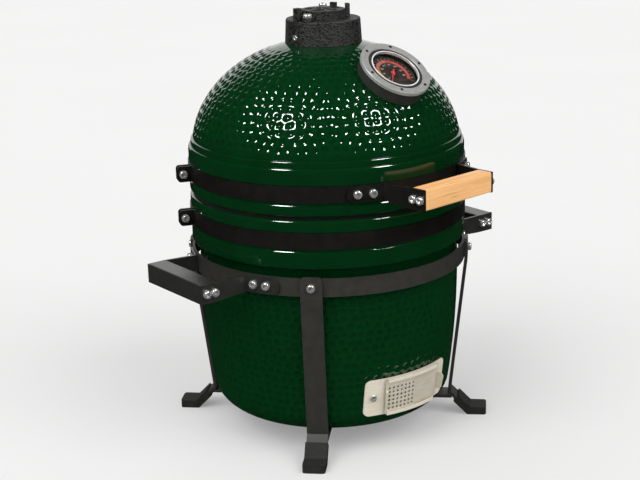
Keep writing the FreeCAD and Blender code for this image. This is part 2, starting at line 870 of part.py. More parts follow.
def lidGrip():
    block = Part.makeBox(lidGripLength, lidGripDepth, lidGripHeight,
                         Vec(-lidGripLength / 2, -lidGripOuter, lidGripMiddle() - lidGripHeight / 2))
    block = block.makeFillet(lidGripRound, [edge for edge in block.Edges if edge.BoundBox.XLength > 1])
    for side in (1, -1):
        for depth in gripBoltDepths(lidGripInner, lidGripOuter):
            start = Vec(side * lidGripLength / 2, -depth, lidGripMiddle())
            block = block.cut(rod(boltRadius, start, Vec(-side, 0, 0), lidGripScrew + 2))
    return block


def lidHandleBolts():
    face = bandOuter + bandGap + armThickness
    grip = armThickness + bandGap + bandThickness
    bolts = [radialBolt(side * angle, lidBandMiddle(), face, grip, nut=False)
             for angle in lidBoltAngles for side in (1, -1)]
    bolts += gripBolts(lidGripLength / 2, lidGripInner, lidGripOuter,
                       lidGripMiddle(), armThickness + lidGripScrew, False)
    return Part.makeCompound(bolts)


# Draft door

def skin(seat, thickness, low, high, start, end):
    # A sheet that lies along the pot's wall.
    half = outline((wallRadius(low) + seat, low), (wallRadius(low) + seat + thickness, low),
                   (wallRadius(high) + seat + thickness, high), (wallRadius(high) + seat, high))
    return turned(spun(half, start, end), standTurn + draftTurn)


def roundedPanel(halfAngle, low, high, radius):
    # A rounded rectangle seen from the front, as a deep block to intersect a sheet with.
    half = wallRadius((low + high) / 2) * math.sin(math.radians(halfAngle))
    block = Part.makeBox(2 * half, 2 * ceramicRadius, high - low, Vec(-half, -2 * ceramicRadius, low))
    block = block.makeFillet(radius, [edge for edge in block.Edges if edge.BoundBox.YLength > 1])
    return turned(block, standTurn + draftTurn)


def frameScrewHeight():
    return draftHigh - frameScrewDrop


def draftFrame():
    plate = skin(frameSeat, sheet, frameLow, frameHigh, -frameHalfAngle - 2, frameHalfAngle + 2)
    plate = plate.common(roundedPanel(frameHalfAngle, frameLow, frameHigh, frameRound))
    plate = plate.cut(skin(frameSeat - margin, sheet + 2 * margin, draftLow + frameOverlap,
                           draftHigh - frameOverlap, 1 - draftHalfAngle, draftHalfAngle - 1))
    ledgeDepth = lipSeat + sheet - frameSeat - sheet / 2
    rails = []
    for low, lipLow in ((frameLow, frameLow), (frameHigh - sheet, frameHigh - lipHeight)):
        rails.append(skin(frameSeat + sheet / 2, ledgeDepth, low, low + sheet, -railHalfAngle, railHalfAngle))
        rails.append(skin(lipSeat, sheet, lipLow, lipLow + lipHeight, -railHalfAngle, railHalfAngle))
    frame = fused([plate] + rails)
    for azimuth in (-frameScrewAngle, frameScrewAngle):
        frame = frame.cut(radialHole(frameScrewRadius + frameScrewFit, azimuth + standTurn + draftTurn,
                                     frameScrewHeight(), heelRadius, ceramicRadius))
    return frame


def frameScrews():
    face = wallRadius(frameScrewHeight()) + frameSeat + sheet
    return Part.makeCompound([
        radialBolt(azimuth + standTurn + draftTurn, frameScrewHeight(), face + curveAllowance,
                   frameScrewLength, nut=False, radius=frameScrewRadius, head=frameScrewHead,
                   rise=frameScrewRise)
        for azimuth in (-frameScrewAngle, frameScrewAngle)])


def slidePanel(seat, start, end):
    inset = sheet + slideClearance
    return skin(seat, sheet, frameLow + inset, frameHigh - inset, start, end)


def fingerTab(seat, reach, azimuth):
    width = math.degrees(sheet / heelRadius)
    low = wallRadius(tabLow) + seat
    high = wallRadius(tabHigh) + seat
    corner = reach * tabRoundShare
    lowEdge = low + reach
    highEdge = high + reach
    half = outline((low, tabLow), (lowEdge - corner, tabLow),
                   rounded((lowEdge - corner, tabLow), (lowEdge, tabLow), (lowEdge, tabLow + corner)),
                   (highEdge, tabHigh - corner),
                   rounded((highEdge, tabHigh - corner), (highEdge, tabHigh), (highEdge - corner, tabHigh)),
                   (high, tabHigh))
    return turned(spun(half, azimuth, azimuth + width), standTurn + draftTurn)


def draftDoor():
    width = math.degrees(sheet / heelRadius)
    return fused([slidePanel(doorSeat, doorStart, doorEnd), fingerTab(doorSeat, tabReach, doorEnd - width)])


def draftScreen():
    panel = slidePanel(screenSeat, screenStart, screenEnd)
    step = math.degrees(meshPitch / wallRadius(draftLow))
    holes = []
    for column in range(meshColumns):
        for row in range(meshRows):
            azimuth = meshFirstAngle + step * column + standTurn + draftTurn
            height = draftLow + meshRise + meshPitch * row
            holes.append(radialHole(meshHole, azimuth, height, heelRadius, ceramicRadius))
    panel = panel.cut(Part.makeCompound(holes))
    return fused([panel, fingerTab(screenSeat, screenTabReach, screenStart)])


# Lid

def domeTop(radius, inset=0.0, drop=0.0):
    wide = domeRadius - inset
    return springHeight + (domeHeight - drop) * math.sqrt(1 - (radius / wide) ** 2)


def domeCurve(start, end, inset=0.0, drop=0.0):
    # The dome's quarter ellipse between two radii, as an outline step.
    centre = Vec(0, 0, springHeight)
    wide = domeRadius - inset
    ellipse = Part.Ellipse(centre + Vec(wide, 0, 0), centre + Vec(0, 0, domeHeight - drop), centre)
    turns = sorted(math.acos(radius / wide) for radius in (start, end))
    return Part.ArcOfEllipse(ellipse, turns[0], turns[1]).toShape(), (end, domeTop(end, inset, drop))


def lidShell():
    grooveLow = lidBandLow - grooveMargin
    grooveHigh = lidBandLow + bandHeight + grooveMargin
    grooveRadius = ceramicRadius - grooveDepth
    ledge = springHeight + shoulderHeight
    ledgeRadius = domeRadius * math.sqrt(1 - (shoulderHeight / domeHeight) ** 2)
    innerSpring = domeRadius - wallThickness
    half = outline(
        (ceramicRadius - innerRimStep, lidRim),
        (ceramicRadius - rimRound, lidRim),
        rounded((ceramicRadius - rimRound, lidRim), (ceramicRadius, lidRim),
                (ceramicRadius, lidRim + rimRound)),
        (ceramicRadius, grooveLow),
        (grooveRadius, grooveLow),
        (grooveRadius, grooveHigh),
        (ceramicRadius, grooveHigh),
        (ceramicRadius, springHeight),
        rounded((ceramicRadius, springHeight), (ceramicRadius, ledge), (ledgeRadius, ledge)),
        domeCurve(ledgeRadius, neckRadius),
        (neckRadius, neckTop),
        (flueRadius, neckTop),
        (flueRadius, domeTop(flueRadius, wallThickness, domeThickness)),
        domeCurve(flueRadius, innerSpring - 0.01, wallThickness, domeThickness),
        (innerSpring - 0.01, springHeight))
    hole = rod(probeRadius + probeClearance, gaugeSeat() + gaugeAxis * margin, gaugeAxis * -1,
               2 * (domeThickness + margin))
    return spun(half).cut(hole)


def lidPart(low, high):
    # The lid is one casting, given as three stacked solids so that its hollow stays open.
    slab = Part.makeCylinder(ceramicRadius + margin, high - low, Vec(0, 0, low))
    return wholeLid.common(slab)


def gaugeSeat():
    return Vec(0, -gaugeSeatRadius, domeTop(gaugeSeatRadius))


def onGauge(shape):
    # From the thermometer's own frame: +Z out of the dial, +Y up the dome.
    return placed(shape, gaugeSeat(), gaugeAxis)


def tube(inner, outer, low, high):
    shell = Part.makeCylinder(outer, high - low, Vec(0, 0, low))
    return shell.cut(Part.makeCylinder(inner, high - low + 2 * margin, Vec(0, 0, low - margin)))


def seatDome():
    # The dome's outside, grown by the gauge's seat gap.
    wide = domeRadius + seatGap
    high = springHeight + domeHeight + seatGap
    ellipse = Part.Ellipse(Vec(wide, 0, springHeight), Vec(0, 0, high), Vec(0, 0, springHeight))
    quarter = Part.ArcOfEllipse(ellipse, 0, math.pi / 2).toShape()
    return spun(outline((0, springHeight), (wide, springHeight), (quarter, (0, high))))


def gaugeHousing():
    cup = Part.makeCylinder(housingRadius, gaugeDepth + housingDrop, Vec(0, 0, -housingDrop))
    cup = cup.cut(rod(glassRadius + gaugeFit, Vec(0, 0, dialHeight), up, 2 * dialSink))
    rim = tube(trimRadius + gaugeFit, bezelInner - gaugeFit, gaugeDepth,
               gaugeDepth + bezelThickness - rimDrop)
    bore = rod(probeRadius + gaugeFit, Vec(0, 0, -housingDrop - margin), up, 2 * housingRadius)
    return onGauge(cup.fuse(rim).cut(bore)).cut(seatDome())


def bezel():
    ring = tube(bezelInner, bezelRadius, gaugeDepth + gaugeLift, gaugeDepth + bezelThickness)
    top = [edge for edge in ring.Edges if edge.BoundBox.ZMin > gaugeDepth + bezelThickness - near]
    ring = ring.makeChamfer(bezelChamfer, top)
    holes = [rod(bezelShank + gaugeFit, spot, up, 2 * bezelThickness) for spot in bezelSpots(gaugeDepth)]
    return onGauge(ring.cut(Part.makeCompound(holes)))


def bezelSpots(height):
    return [polar(bezelScrewCircle, 360 / bezelScrewCount * (k + 0.5), height) for k in range(bezelScrewCount)]


def bezelScrews():
    screws = []
    for spot in bezelSpots(gaugeDepth + bezelThickness):
        screw = bolt(bezelThickness - gaugeFit, nut=False, radius=bezelShank, head=bezelScrewRadius,
                     rise=bezelScrewRise)
        screw.translate(spot)
        screws.append(screw)
    return onGauge(Part.makeCompound(screws))


def trimRing():
    return onGauge(tube(glassRadius + gaugeFit, trimRadius, gaugeDepth + gaugeLift,
                        gaugeDepth + bezelThickness - trimDrop))


def dial():
    plate = Part.makeCylinder(glassRadius, dialThickness, Vec(0, 0, dialHeight + gaugeLift))
    return onGauge(plate.cut(rod(probeRadius + gaugeFit, Vec(0, 0, 0), up, 2 * gaugeDepth)))


def gaugeGlass():
    return onGauge(Part.makeCylinder(glassRadius, glassThickness,
                                     Vec(0, 0, gaugeDepth + bezelThickness - glassDrop)))


def probe():
    # The stem that reads the lid's heat, with the needle's spindle at its top.
    top = dialHeight + dialThickness
    stem = rod(probeRadius, Vec(0, 0, top), -up, probeLength + top)
    spindle = rod(spindleRadius, Vec(0, 0, top), up, spindleRise)
    return onGauge(stem.fuse(spindle))


def probeNut():
    # Against the lid's inside, on the probe.
    bore = rod(probeRadius + gaugeLift, Vec(0, 0, -probeLength), up, probeLength)
    return onGauge(hexagon(probeNutRadius, -probeNutDrop, probeNutHeight).cut(bore))


def needle():
    low = dialHeight + dialThickness + needleLift
    hub = Part.makeCylinder(needleHub, needleThickness, Vec(0, 0, low))
    tip = glassRadius - needleInset
    blade = prism([Vec(-needleTail, -needleBack, low), Vec(needleTail, -needleBack, low),
                   Vec(needlePoint, tip, low), Vec(-needlePoint, tip, low)], Vec(0, 0, needleThickness))
    shape = hub.fuse(blade).cut(rod(spindleRadius + spindleClearance, Vec(0, 0, 0), up, 2 * low))
    return onGauge(turned(shape, -needleRest))


# Vent

def ventCollar():
    seat = neckTop + neckSeat
    edge = collarTop - collarRound
    half = outline(
        (collarBore, domeTop(collarBore) + neckClearance),
        (collarRadius, domeTop(collarRadius) + neckClearance),
        (collarTopRadius, edge),
        rounded((collarTopRadius, edge), (collarTopRadius, collarTop),
                (collarTopRadius - collarRound, collarTop)),
        (collarFlue, collarTop),
        (collarFlue, seat),
        (collarBore, seat))
    prong = Part.makeBox(prongWidth, prongDepth, prongHeight + collarRound,
                         Vec(-prongWidth / 2, -stopReach - prongDepth / 2, collarTop - collarRound))
    collar = fused([spun(half), turned(prong, stopAzimuth)])
    tapped = polar(pivotReach, pivotAzimuth, collarTop - pivotThread - shankEnd)
    collar = collar.cut(rod(pivotScrewRadius, tapped, up, 2 * prongHeight))
    for azimuth in collarScrewAzimuths:
        collar = collar.cut(radialHole(collarShank + gaugeFit, azimuth, collarScrewHeight(),
                                       neckRadius - margin, collarRadius + margin))
    return collar


def collarScrewHeight():
    return domeTop(collarRadius) + collarScrewRise


def collarScrews():
    return Part.makeCompound([
        radialBolt(azimuth, collarScrewHeight(), collarRadius - collarScrewSink, collarWall - headJoin,
                   nut=False, radius=collarShank, head=collarScrewRadius, rise=collarScrewLift)
        for azimuth in collarScrewAzimuths])


def petals(low, height):
    return Part.makeCompound([rod(petalRadius, polar(petalCircle, 360 / petalCount * k, low), up, height)
                              for k in range(petalCount)])


def prongAt(radius, azimuth, low, high):
    block = Part.makeBox(prongWidth, tabDepth, high - low, Vec(-prongWidth / 2, -radius, low))
    return turned(block, azimuth)


def ventDisc():
    low = collarTop + ventGap
    pivot = polar(pivotReach, pivotAzimuth, low)
    plate = Part.makeCylinder(ventRadius, ventThickness, Vec(0, 0, low))
    boss = rod(pivotBossRadius, pivot, up, ventThickness)
    side = polar(pivotBossRadius, pivotAzimuth + 90)
    neck = prism([Vec(0, 0, low) + side, pivot + side, pivot - side, Vec(0, 0, low) - side],
                 Vec(0, 0, ventThickness))
    step = Part.makeCylinder(ventStepRadius, ventThickness + ventStepHeight, Vec(0, 0, low))
    tab = prongAt(ventRadius + ventTabOut, ventTabAzimuth, low, low + prongHeight)
    shape = fused([plate, boss, neck, step, tab])
    shape = shape.cut(petals(low - margin, 2 * prongHeight))
    shape = shape.cut(rod(pivotScrewRadius + pivotClearance, pivot - up, up, 2 * prongHeight))
    return shape.cut(rod(boltRadius, Vec(0, 0, low - margin), up, 2 * prongHeight))


def wheelLow():
    return collarTop + ventGap + ventThickness + ventStepHeight + ventGap


def daisyWheel():
    low = wheelLow()
    disc = Part.makeCylinder(wheelRadius, wheelThickness, Vec(0, 0, low))
    hub = Part.makeCone(wheelHubRadius, wheelHubTop, wheelHubHeight, Vec(0, 0, low + wheelThickness))
    tab = prongAt(wheelRadius, wheelTabAzimuth, low, collarTop + ventGap + prongHeight)
    shape = fused([disc, hub, tab]).cut(petals(low - margin, 2 * prongHeight))
    return shape.cut(rod(boltRadius + pivotClearance, Vec(0, 0, low - margin), up, 2 * prongHeight))


def wheelScrew():
    # Holds the wheel on the disc, and ends inside it so that the disc swings clear of the collar.
    top = wheelLow() + wheelThickness + wheelHubHeight + ventGap
    screw = bolt(top - collarTop - 2 * ventGap, nut=False)
    screw.translate(Vec(0, 0, top))
    return screw


def pivotScrew():
    top = collarTop + 2 * ventGap + ventThickness
    screw = bolt(top - collarTop + pivotThread, nut=False, radius=pivotScrewRadius, head=pivotHeadRadius,
                 rise=pivotHeadHeight)
    return placed(screw, polar(pivotReach, pivotAzimuth, top), up)


wholeLid = lidShell()
pieces = {
    "base_shell": baseShell(),
    "base_gasket": gasket(rimHeight),
    "firebox": firebox(),
    "fire_ring": fireRing(),
    "charcoal_grate": charcoalGrate(),
    "cooking_grate": cookingGrate(),
    "base_band": frontBand(baseBandLow),
    "base_hinge_strap": hingeStrap(baseBandLow, baseLugOffset()),
    "base_band_bolts": bandBolts(baseBandLow),
    "hinge_pin": hingePin(),
    "hinge_nut": hingeNut(),
    "stand_ring": standRing(),
    "leg_bolts": legBolts(),
    "left_handle_grip": sideGrip(-90),
    "left_handle_arm_front": sideArm(-90, 1),
    "left_handle_arm_rear": sideArm(-90, -1),
    "right_handle_grip": sideGrip(90),
    "right_handle_arm_front": sideArm(90, -1),
    "right_handle_arm_rear": sideArm(90, 1),
    "side_handle_bolts": sideHandleBolts(),
    "draft_frame": draftFrame(),
    "draft_frame_screws": frameScrews(),
    "draft_door": draftDoor(),
    "draft_screen": draftScreen(),
    "lid_skirt": lidPart(lidRim - margin, springHeight),
    "lid_shell": lidPart(springHeight, crownLow),
    "lid_crown": lidPart(crownLow, neckTop + margin),
    "lid_gasket": gasket(lidRim - gasketThickness),
    "lid_band": frontBand(lidBandLow, [s * a for s in (1, -1) for a in lidBoltAngles]),
    "lid_hinge_strap": hingeStrap(lidBandLow, lidLugOffset),
    "lid_band_bolts": bandBolts(lidBandLow),
    "lid_handle_grip": lidGrip(),
    "lid_handle_arm_left": lidArm(-1),
    "lid_handle_arm_right": lidArm(1),
    "lid_handle_bolts": lidHandleBolts(),
    "gauge_housing": gaugeHousing(),
    "gauge_bezel": bezel(),
    "gauge_bezel_screws": bezelScrews(),
    "gauge_trim_ring": trimRing(),
    "gauge_dial": dial(),
    "gauge_glass": gaugeGlass(),
    "gauge_probe": probe(),
    "gauge_probe_nut": probeNut(),
    "gauge_needle": needle(),
    "vent_collar": ventCollar(),
    "vent_collar_screws": collarScrews(),
    "vent_pivot_screw": pivotScrew(),
    "vent_disc": ventDisc(),
    "vent_wheel": daisyWheel(),
    "vent_wheel_screw": wheelScrew(),
}
for name, azimuth in legAzimuths.items():
    pieces["leg_" + name] = leg(azimuth)
    pieces["foot_cap_" + name] = footCap(azimuth)

os.makedirs("parts", exist_ok=True)
for name, shape in pieces.items():
    shape.exportStep("parts/" + name + ".step")
    box = shape.BoundBox
    print(name, len(shape.Solids), shape.isValid(), round(shape.Volume),
          [round(v, 1) for v in (box.XMin, box.XMax, box.YMin, box.YMax, box.ZMin, box.ZMax)])
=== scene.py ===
import bmesh
import bpy
import json
import math
import random
from mathutils import Matrix, Quaternion, Vector, kdtree


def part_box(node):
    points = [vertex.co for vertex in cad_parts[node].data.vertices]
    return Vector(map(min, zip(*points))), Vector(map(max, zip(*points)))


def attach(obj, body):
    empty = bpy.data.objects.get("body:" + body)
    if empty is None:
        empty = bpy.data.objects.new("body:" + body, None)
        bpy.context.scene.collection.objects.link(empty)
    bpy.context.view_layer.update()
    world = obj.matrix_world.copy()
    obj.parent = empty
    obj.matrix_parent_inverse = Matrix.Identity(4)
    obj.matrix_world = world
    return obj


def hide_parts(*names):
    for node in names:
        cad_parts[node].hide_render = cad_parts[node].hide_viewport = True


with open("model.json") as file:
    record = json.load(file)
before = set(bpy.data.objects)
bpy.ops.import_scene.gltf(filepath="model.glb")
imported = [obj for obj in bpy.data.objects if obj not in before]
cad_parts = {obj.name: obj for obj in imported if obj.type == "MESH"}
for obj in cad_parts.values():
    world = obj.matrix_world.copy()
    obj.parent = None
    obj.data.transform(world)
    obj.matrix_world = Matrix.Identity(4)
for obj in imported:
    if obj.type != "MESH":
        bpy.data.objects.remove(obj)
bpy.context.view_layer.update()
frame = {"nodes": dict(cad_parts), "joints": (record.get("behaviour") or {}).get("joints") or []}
nodes = frame["nodes"]
mm = 0.001


# camera

view = {"place": (-1.1910, -1.2683, 0.7428), "heading": (0.6845, 0.7290), "pitchDeg": 15.86, "rollDeg": -1.45,
        "lens": 80.48, "shift": (-0.0127, -0.0241), "farthest": 200}

pitch = math.radians(view["pitchDeg"])
gaze = Vector((view["heading"][0] * math.cos(pitch), view["heading"][1] * math.cos(pitch), -math.sin(pitch)))
cameraData = bpy.data.cameras.new("camera")
cameraData.lens = view["lens"]
cameraData.shift_x, cameraData.shift_y = view["shift"]
cameraData.clip_end = view["farthest"]
camera = bpy.data.objects.new("camera", cameraData)
camera.location = view["place"]
camera.rotation_mode = "QUATERNION"
tilt = Quaternion((0, 0, 1), math.radians(view["rollDeg"]))
camera.rotation_quaternion = gaze.to_track_quat("-Z", "Y") @ tilt
bpy.context.scene.collection.objects.link(camera)
bpy.context.scene.camera = camera
bpy.context.scene.view_settings.view_transform = "Standard"
print("camera placed")


# light: two soft boxes in front for the gloss, a pale card behind, and even light on the surfaces

softBox = {"distance": 2.2, "centre": 0.408, "size": 0.46, "radiance": 60.0,
           "places": ((-44.2, 43.4), (53.8, 41.6))}
rearCard = {"distance": 3.0, "width": 4.0, "height": 2.2, "radiance": 1.1, "place": (180.0, 16.0)}
fillSuns = {"left": {"strength": 1.6, "softDeg": 45.0, "place": (-44.2, 43.4)},
            "right": {"strength": 1.5, "softDeg": 45.0, "place": (53.8, 41.6)},
            "sky": {"strength": 0.6, "softDeg": 60.0, "place": (-115.0, 62.0)}}
surround = {"seen": 1.13, "diffuse": 0.75, "gloss": 0.012}
aimHeight = 0.30  # the point on the grill's axis that the lights face
forward = math.atan2(view["heading"][0], view["heading"][1])


def aroundCamera(azimuthDeg, elevationDeg, distance, height=aimHeight):
    # azimuth counted from the camera's side, positive to its right
    azimuth, rise = math.radians(azimuthDeg), math.radians(elevationDeg)
    side, toward = math.sin(azimuth) * math.cos(rise), math.cos(azimuth) * math.cos(rise)
    x = side * math.cos(forward) - toward * math.sin(forward)
    y = -side * math.sin(forward) - toward * math.cos(forward)
    return Vector((x, y, math.sin(rise))) * distance + Vector((0, 0, height))


def areaLight(name, place, width, height, radiance):
    data = bpy.data.lights.new(name, "AREA")
    data.shape, data.size, data.size_y = "RECTANGLE", width, height
    data.energy = radiance * math.pi * width * height
    lamp = bpy.data.objects.new(name, data)
    lamp.location = place
    lamp.rotation_mode = "QUATERNION"
    lamp.rotation_quaternion = (Vector((0, 0, aimHeight)) - place).to_track_quat("-Z", "Y")
    lamp.visible_camera = False
    lamp.visible_diffuse = False
    bpy.context.scene.collection.objects.link(lamp)


for number, (azimuth, elevation) in enumerate(softBox["places"]):
    place = aroundCamera(azimuth, elevation, softBox["distance"], softBox["centre"])
    areaLight("soft_box_%d" % number, place, softBox["size"], softBox["size"], softBox["radiance"])
areaLight("rear_card", aroundCamera(*rearCard["place"], rearCard["distance"]),
          rearCard["width"], rearCard["height"], rearCard["radiance"])

for name, look in fillSuns.items():
    sunData = bpy.data.lights.new("fill_" + name, "SUN")
    sunData.energy = look["strength"]
    sunData.angle = math.radians(look["softDeg"])
    sun = bpy.data.objects.new("fill_" + name, sunData)
    sun.rotation_mode = "QUATERNION"
    sun.rotation_quaternion = (-aroundCamera(*look["place"], 1.0, 0.0)).to_track_quat("-Z", "Y")
    sun.visible_glossy = False
    bpy.context.scene.collection.objects.link(sun)

world = bpy.data.worlds.new("studio")
world.use_nodes = True
bpy.context.scene.world = world
tree = world.node_tree
tree.nodes.clear()
rays = tree.nodes.new("ShaderNodeLightPath")
seen = tree.nodes.new("ShaderNodeMix")
seen.inputs["A"].default_value = surround["diffuse"]
seen.inputs["B"].default_value = surround["seen"]
gloss = tree.nodes.new("ShaderNodeMix")
gloss.inputs["B"].default_value = surround["gloss"]
back = tree.nodes.new("ShaderNodeBackground")
result = tree.nodes.new("ShaderNodeOutputWorld")
tree.links.new(rays.outputs["Is Camera Ray"], seen.inputs["Factor"])
tree.links.new(seen.outputs["Result"], gloss.inputs["A"])
tree.links.new(rays.outputs["Is Glossy Ray"], gloss.inputs["Factor"])
tree.links.new(gloss.outputs["Result"], back.inputs["Strength"])
tree.links.new(back.outputs["Background"], result.inputs["Surface"])
print("lights placed")


# one grain group for every finish: a mask and a bump height from stretched noise

def makeGrainGroup():
    group = bpy.data.node_groups.new("grain", "ShaderNodeTree")
    for name, kind, value in (("Scale", "NodeSocketFloat", 100.0), ("Detail", "NodeSocketFloat", 3.0),
                              ("Stretch", "NodeSocketVector", (1, 1, 1)), ("Low", "NodeSocketFloat", 0.35),
                              ("High", "NodeSocketFloat", 0.65)):
        group.interface.new_socket(name, in_out="INPUT", socket_type=kind).default_value = value
    group.interface.new_socket("Mask", in_out="OUTPUT", socket_type="NodeSocketFloat")
    group.interface.new_socket("Height", in_out="OUTPUT", socket_type="NodeSocketFloat")
    n, link = group.nodes, group.links
    start, end = n.new("NodeGroupInput"), n.new("NodeGroupOutput")
    place = n.new("ShaderNodeTexCoord")
    stretch = n.new("ShaderNodeVectorMath")
    stretch.operation = "MULTIPLY"
    speckle = n.new("ShaderNodeTexNoise")
    spread = n.new("ShaderNodeMapRange")
    link.new(place.outputs["Object"], stretch.inputs[0])
    link.new(start.outputs["Stretch"], stretch.inputs[1])
    link.new(stretch.outputs[0], speckle.inputs["Vector"])
    link.new(start.outputs["Scale"], speckle.inputs["Scale"])
    link.new(start.outputs["Detail"], speckle.inputs["Detail"])
    link.new(speckle.outputs["Fac"], spread.inputs["Value"])
    link.new(start.outputs["Low"], spread.inputs["From Min"])
    link.new(start.outputs["High"], spread.inputs["From Max"])
    link.new(spread.outputs["Result"], end.inputs["Mask"])
    link.new(speckle.outputs["Fac"], end.inputs["Height"])
    return group


grainGroup = makeGrainGroup()


def addGrain(tree, scale, detail, stretch, low=0.35, high=0.65):
    node = tree.nodes.new("ShaderNodeGroup")
    node.node_tree = grainGroup
    values = {"Scale": scale, "Detail": detail, "Stretch": stretch, "Low": low, "High": high}
    for name, value in values.items():
        node.inputs[name].default_value = value
    return node


def mixColour(tree, mask, first, second):
    mix = tree.nodes.new("ShaderNodeMix")
    mix.data_type = "RGBA"
    mix.inputs["A"].default_value = (*first, 1)
    mix.inputs["B"].default_value = (*second, 1)
    tree.links.new(mask, mix.inputs["Factor"])
    return mix.outputs["Result"]


def mixValue(tree, mask, low, high):
    spread = tree.nodes.new("ShaderNodeMapRange")
    spread.inputs["To Min"].default_value = low
    spread.inputs["To Max"].default_value = high
    tree.links.new(mask, spread.inputs["Value"])
    return spread.outputs["Result"]


def bumpOn(tree, height, strength, depth):
    bump = tree.nodes.new("ShaderNodeBump")
    bump.inputs["Strength"].default_value = strength
    bump.inputs["Distance"].default_value = depth
    tree.links.new(height, bump.inputs["Height"])
    return bump.outputs["Normal"]


def newMaterial(name):
    material = bpy.data.materials.new(name)
    material.use_nodes = True
    return material, material.node_tree, material.node_tree.nodes["Principled BSDF"]


def makeFinish(name, look):
    # mottled colour and roughness, then a fine bump, each with its own scale
    material, tree, skin = newMaterial(name)
    stretch = look.get("stretch", (1, 1, 1))
    mottle = addGrain(tree, look["mottleScale"], 4.0, stretch, *look.get("spread", (0.35, 0.65)))
    grain = addGrain(tree, look["grainScale"], look.get("detail", 3.0), stretch)
    tree.links.new(mixColour(tree, mottle.outputs["Mask"], look["dark"], look["light"]),
                   skin.inputs["Base Color"])
    tree.links.new(mixValue(tree, mottle.outputs["Mask"], *look["roughness"]), skin.inputs["Roughness"])
    tree.links.new(bumpOn(tree, grain.outputs["Height"], look["bump"], look["depth"]), skin.inputs["Normal"])
    for socket, value in look.get("sockets", {}).items():
        skin.inputs[socket].default_value = value
    return material


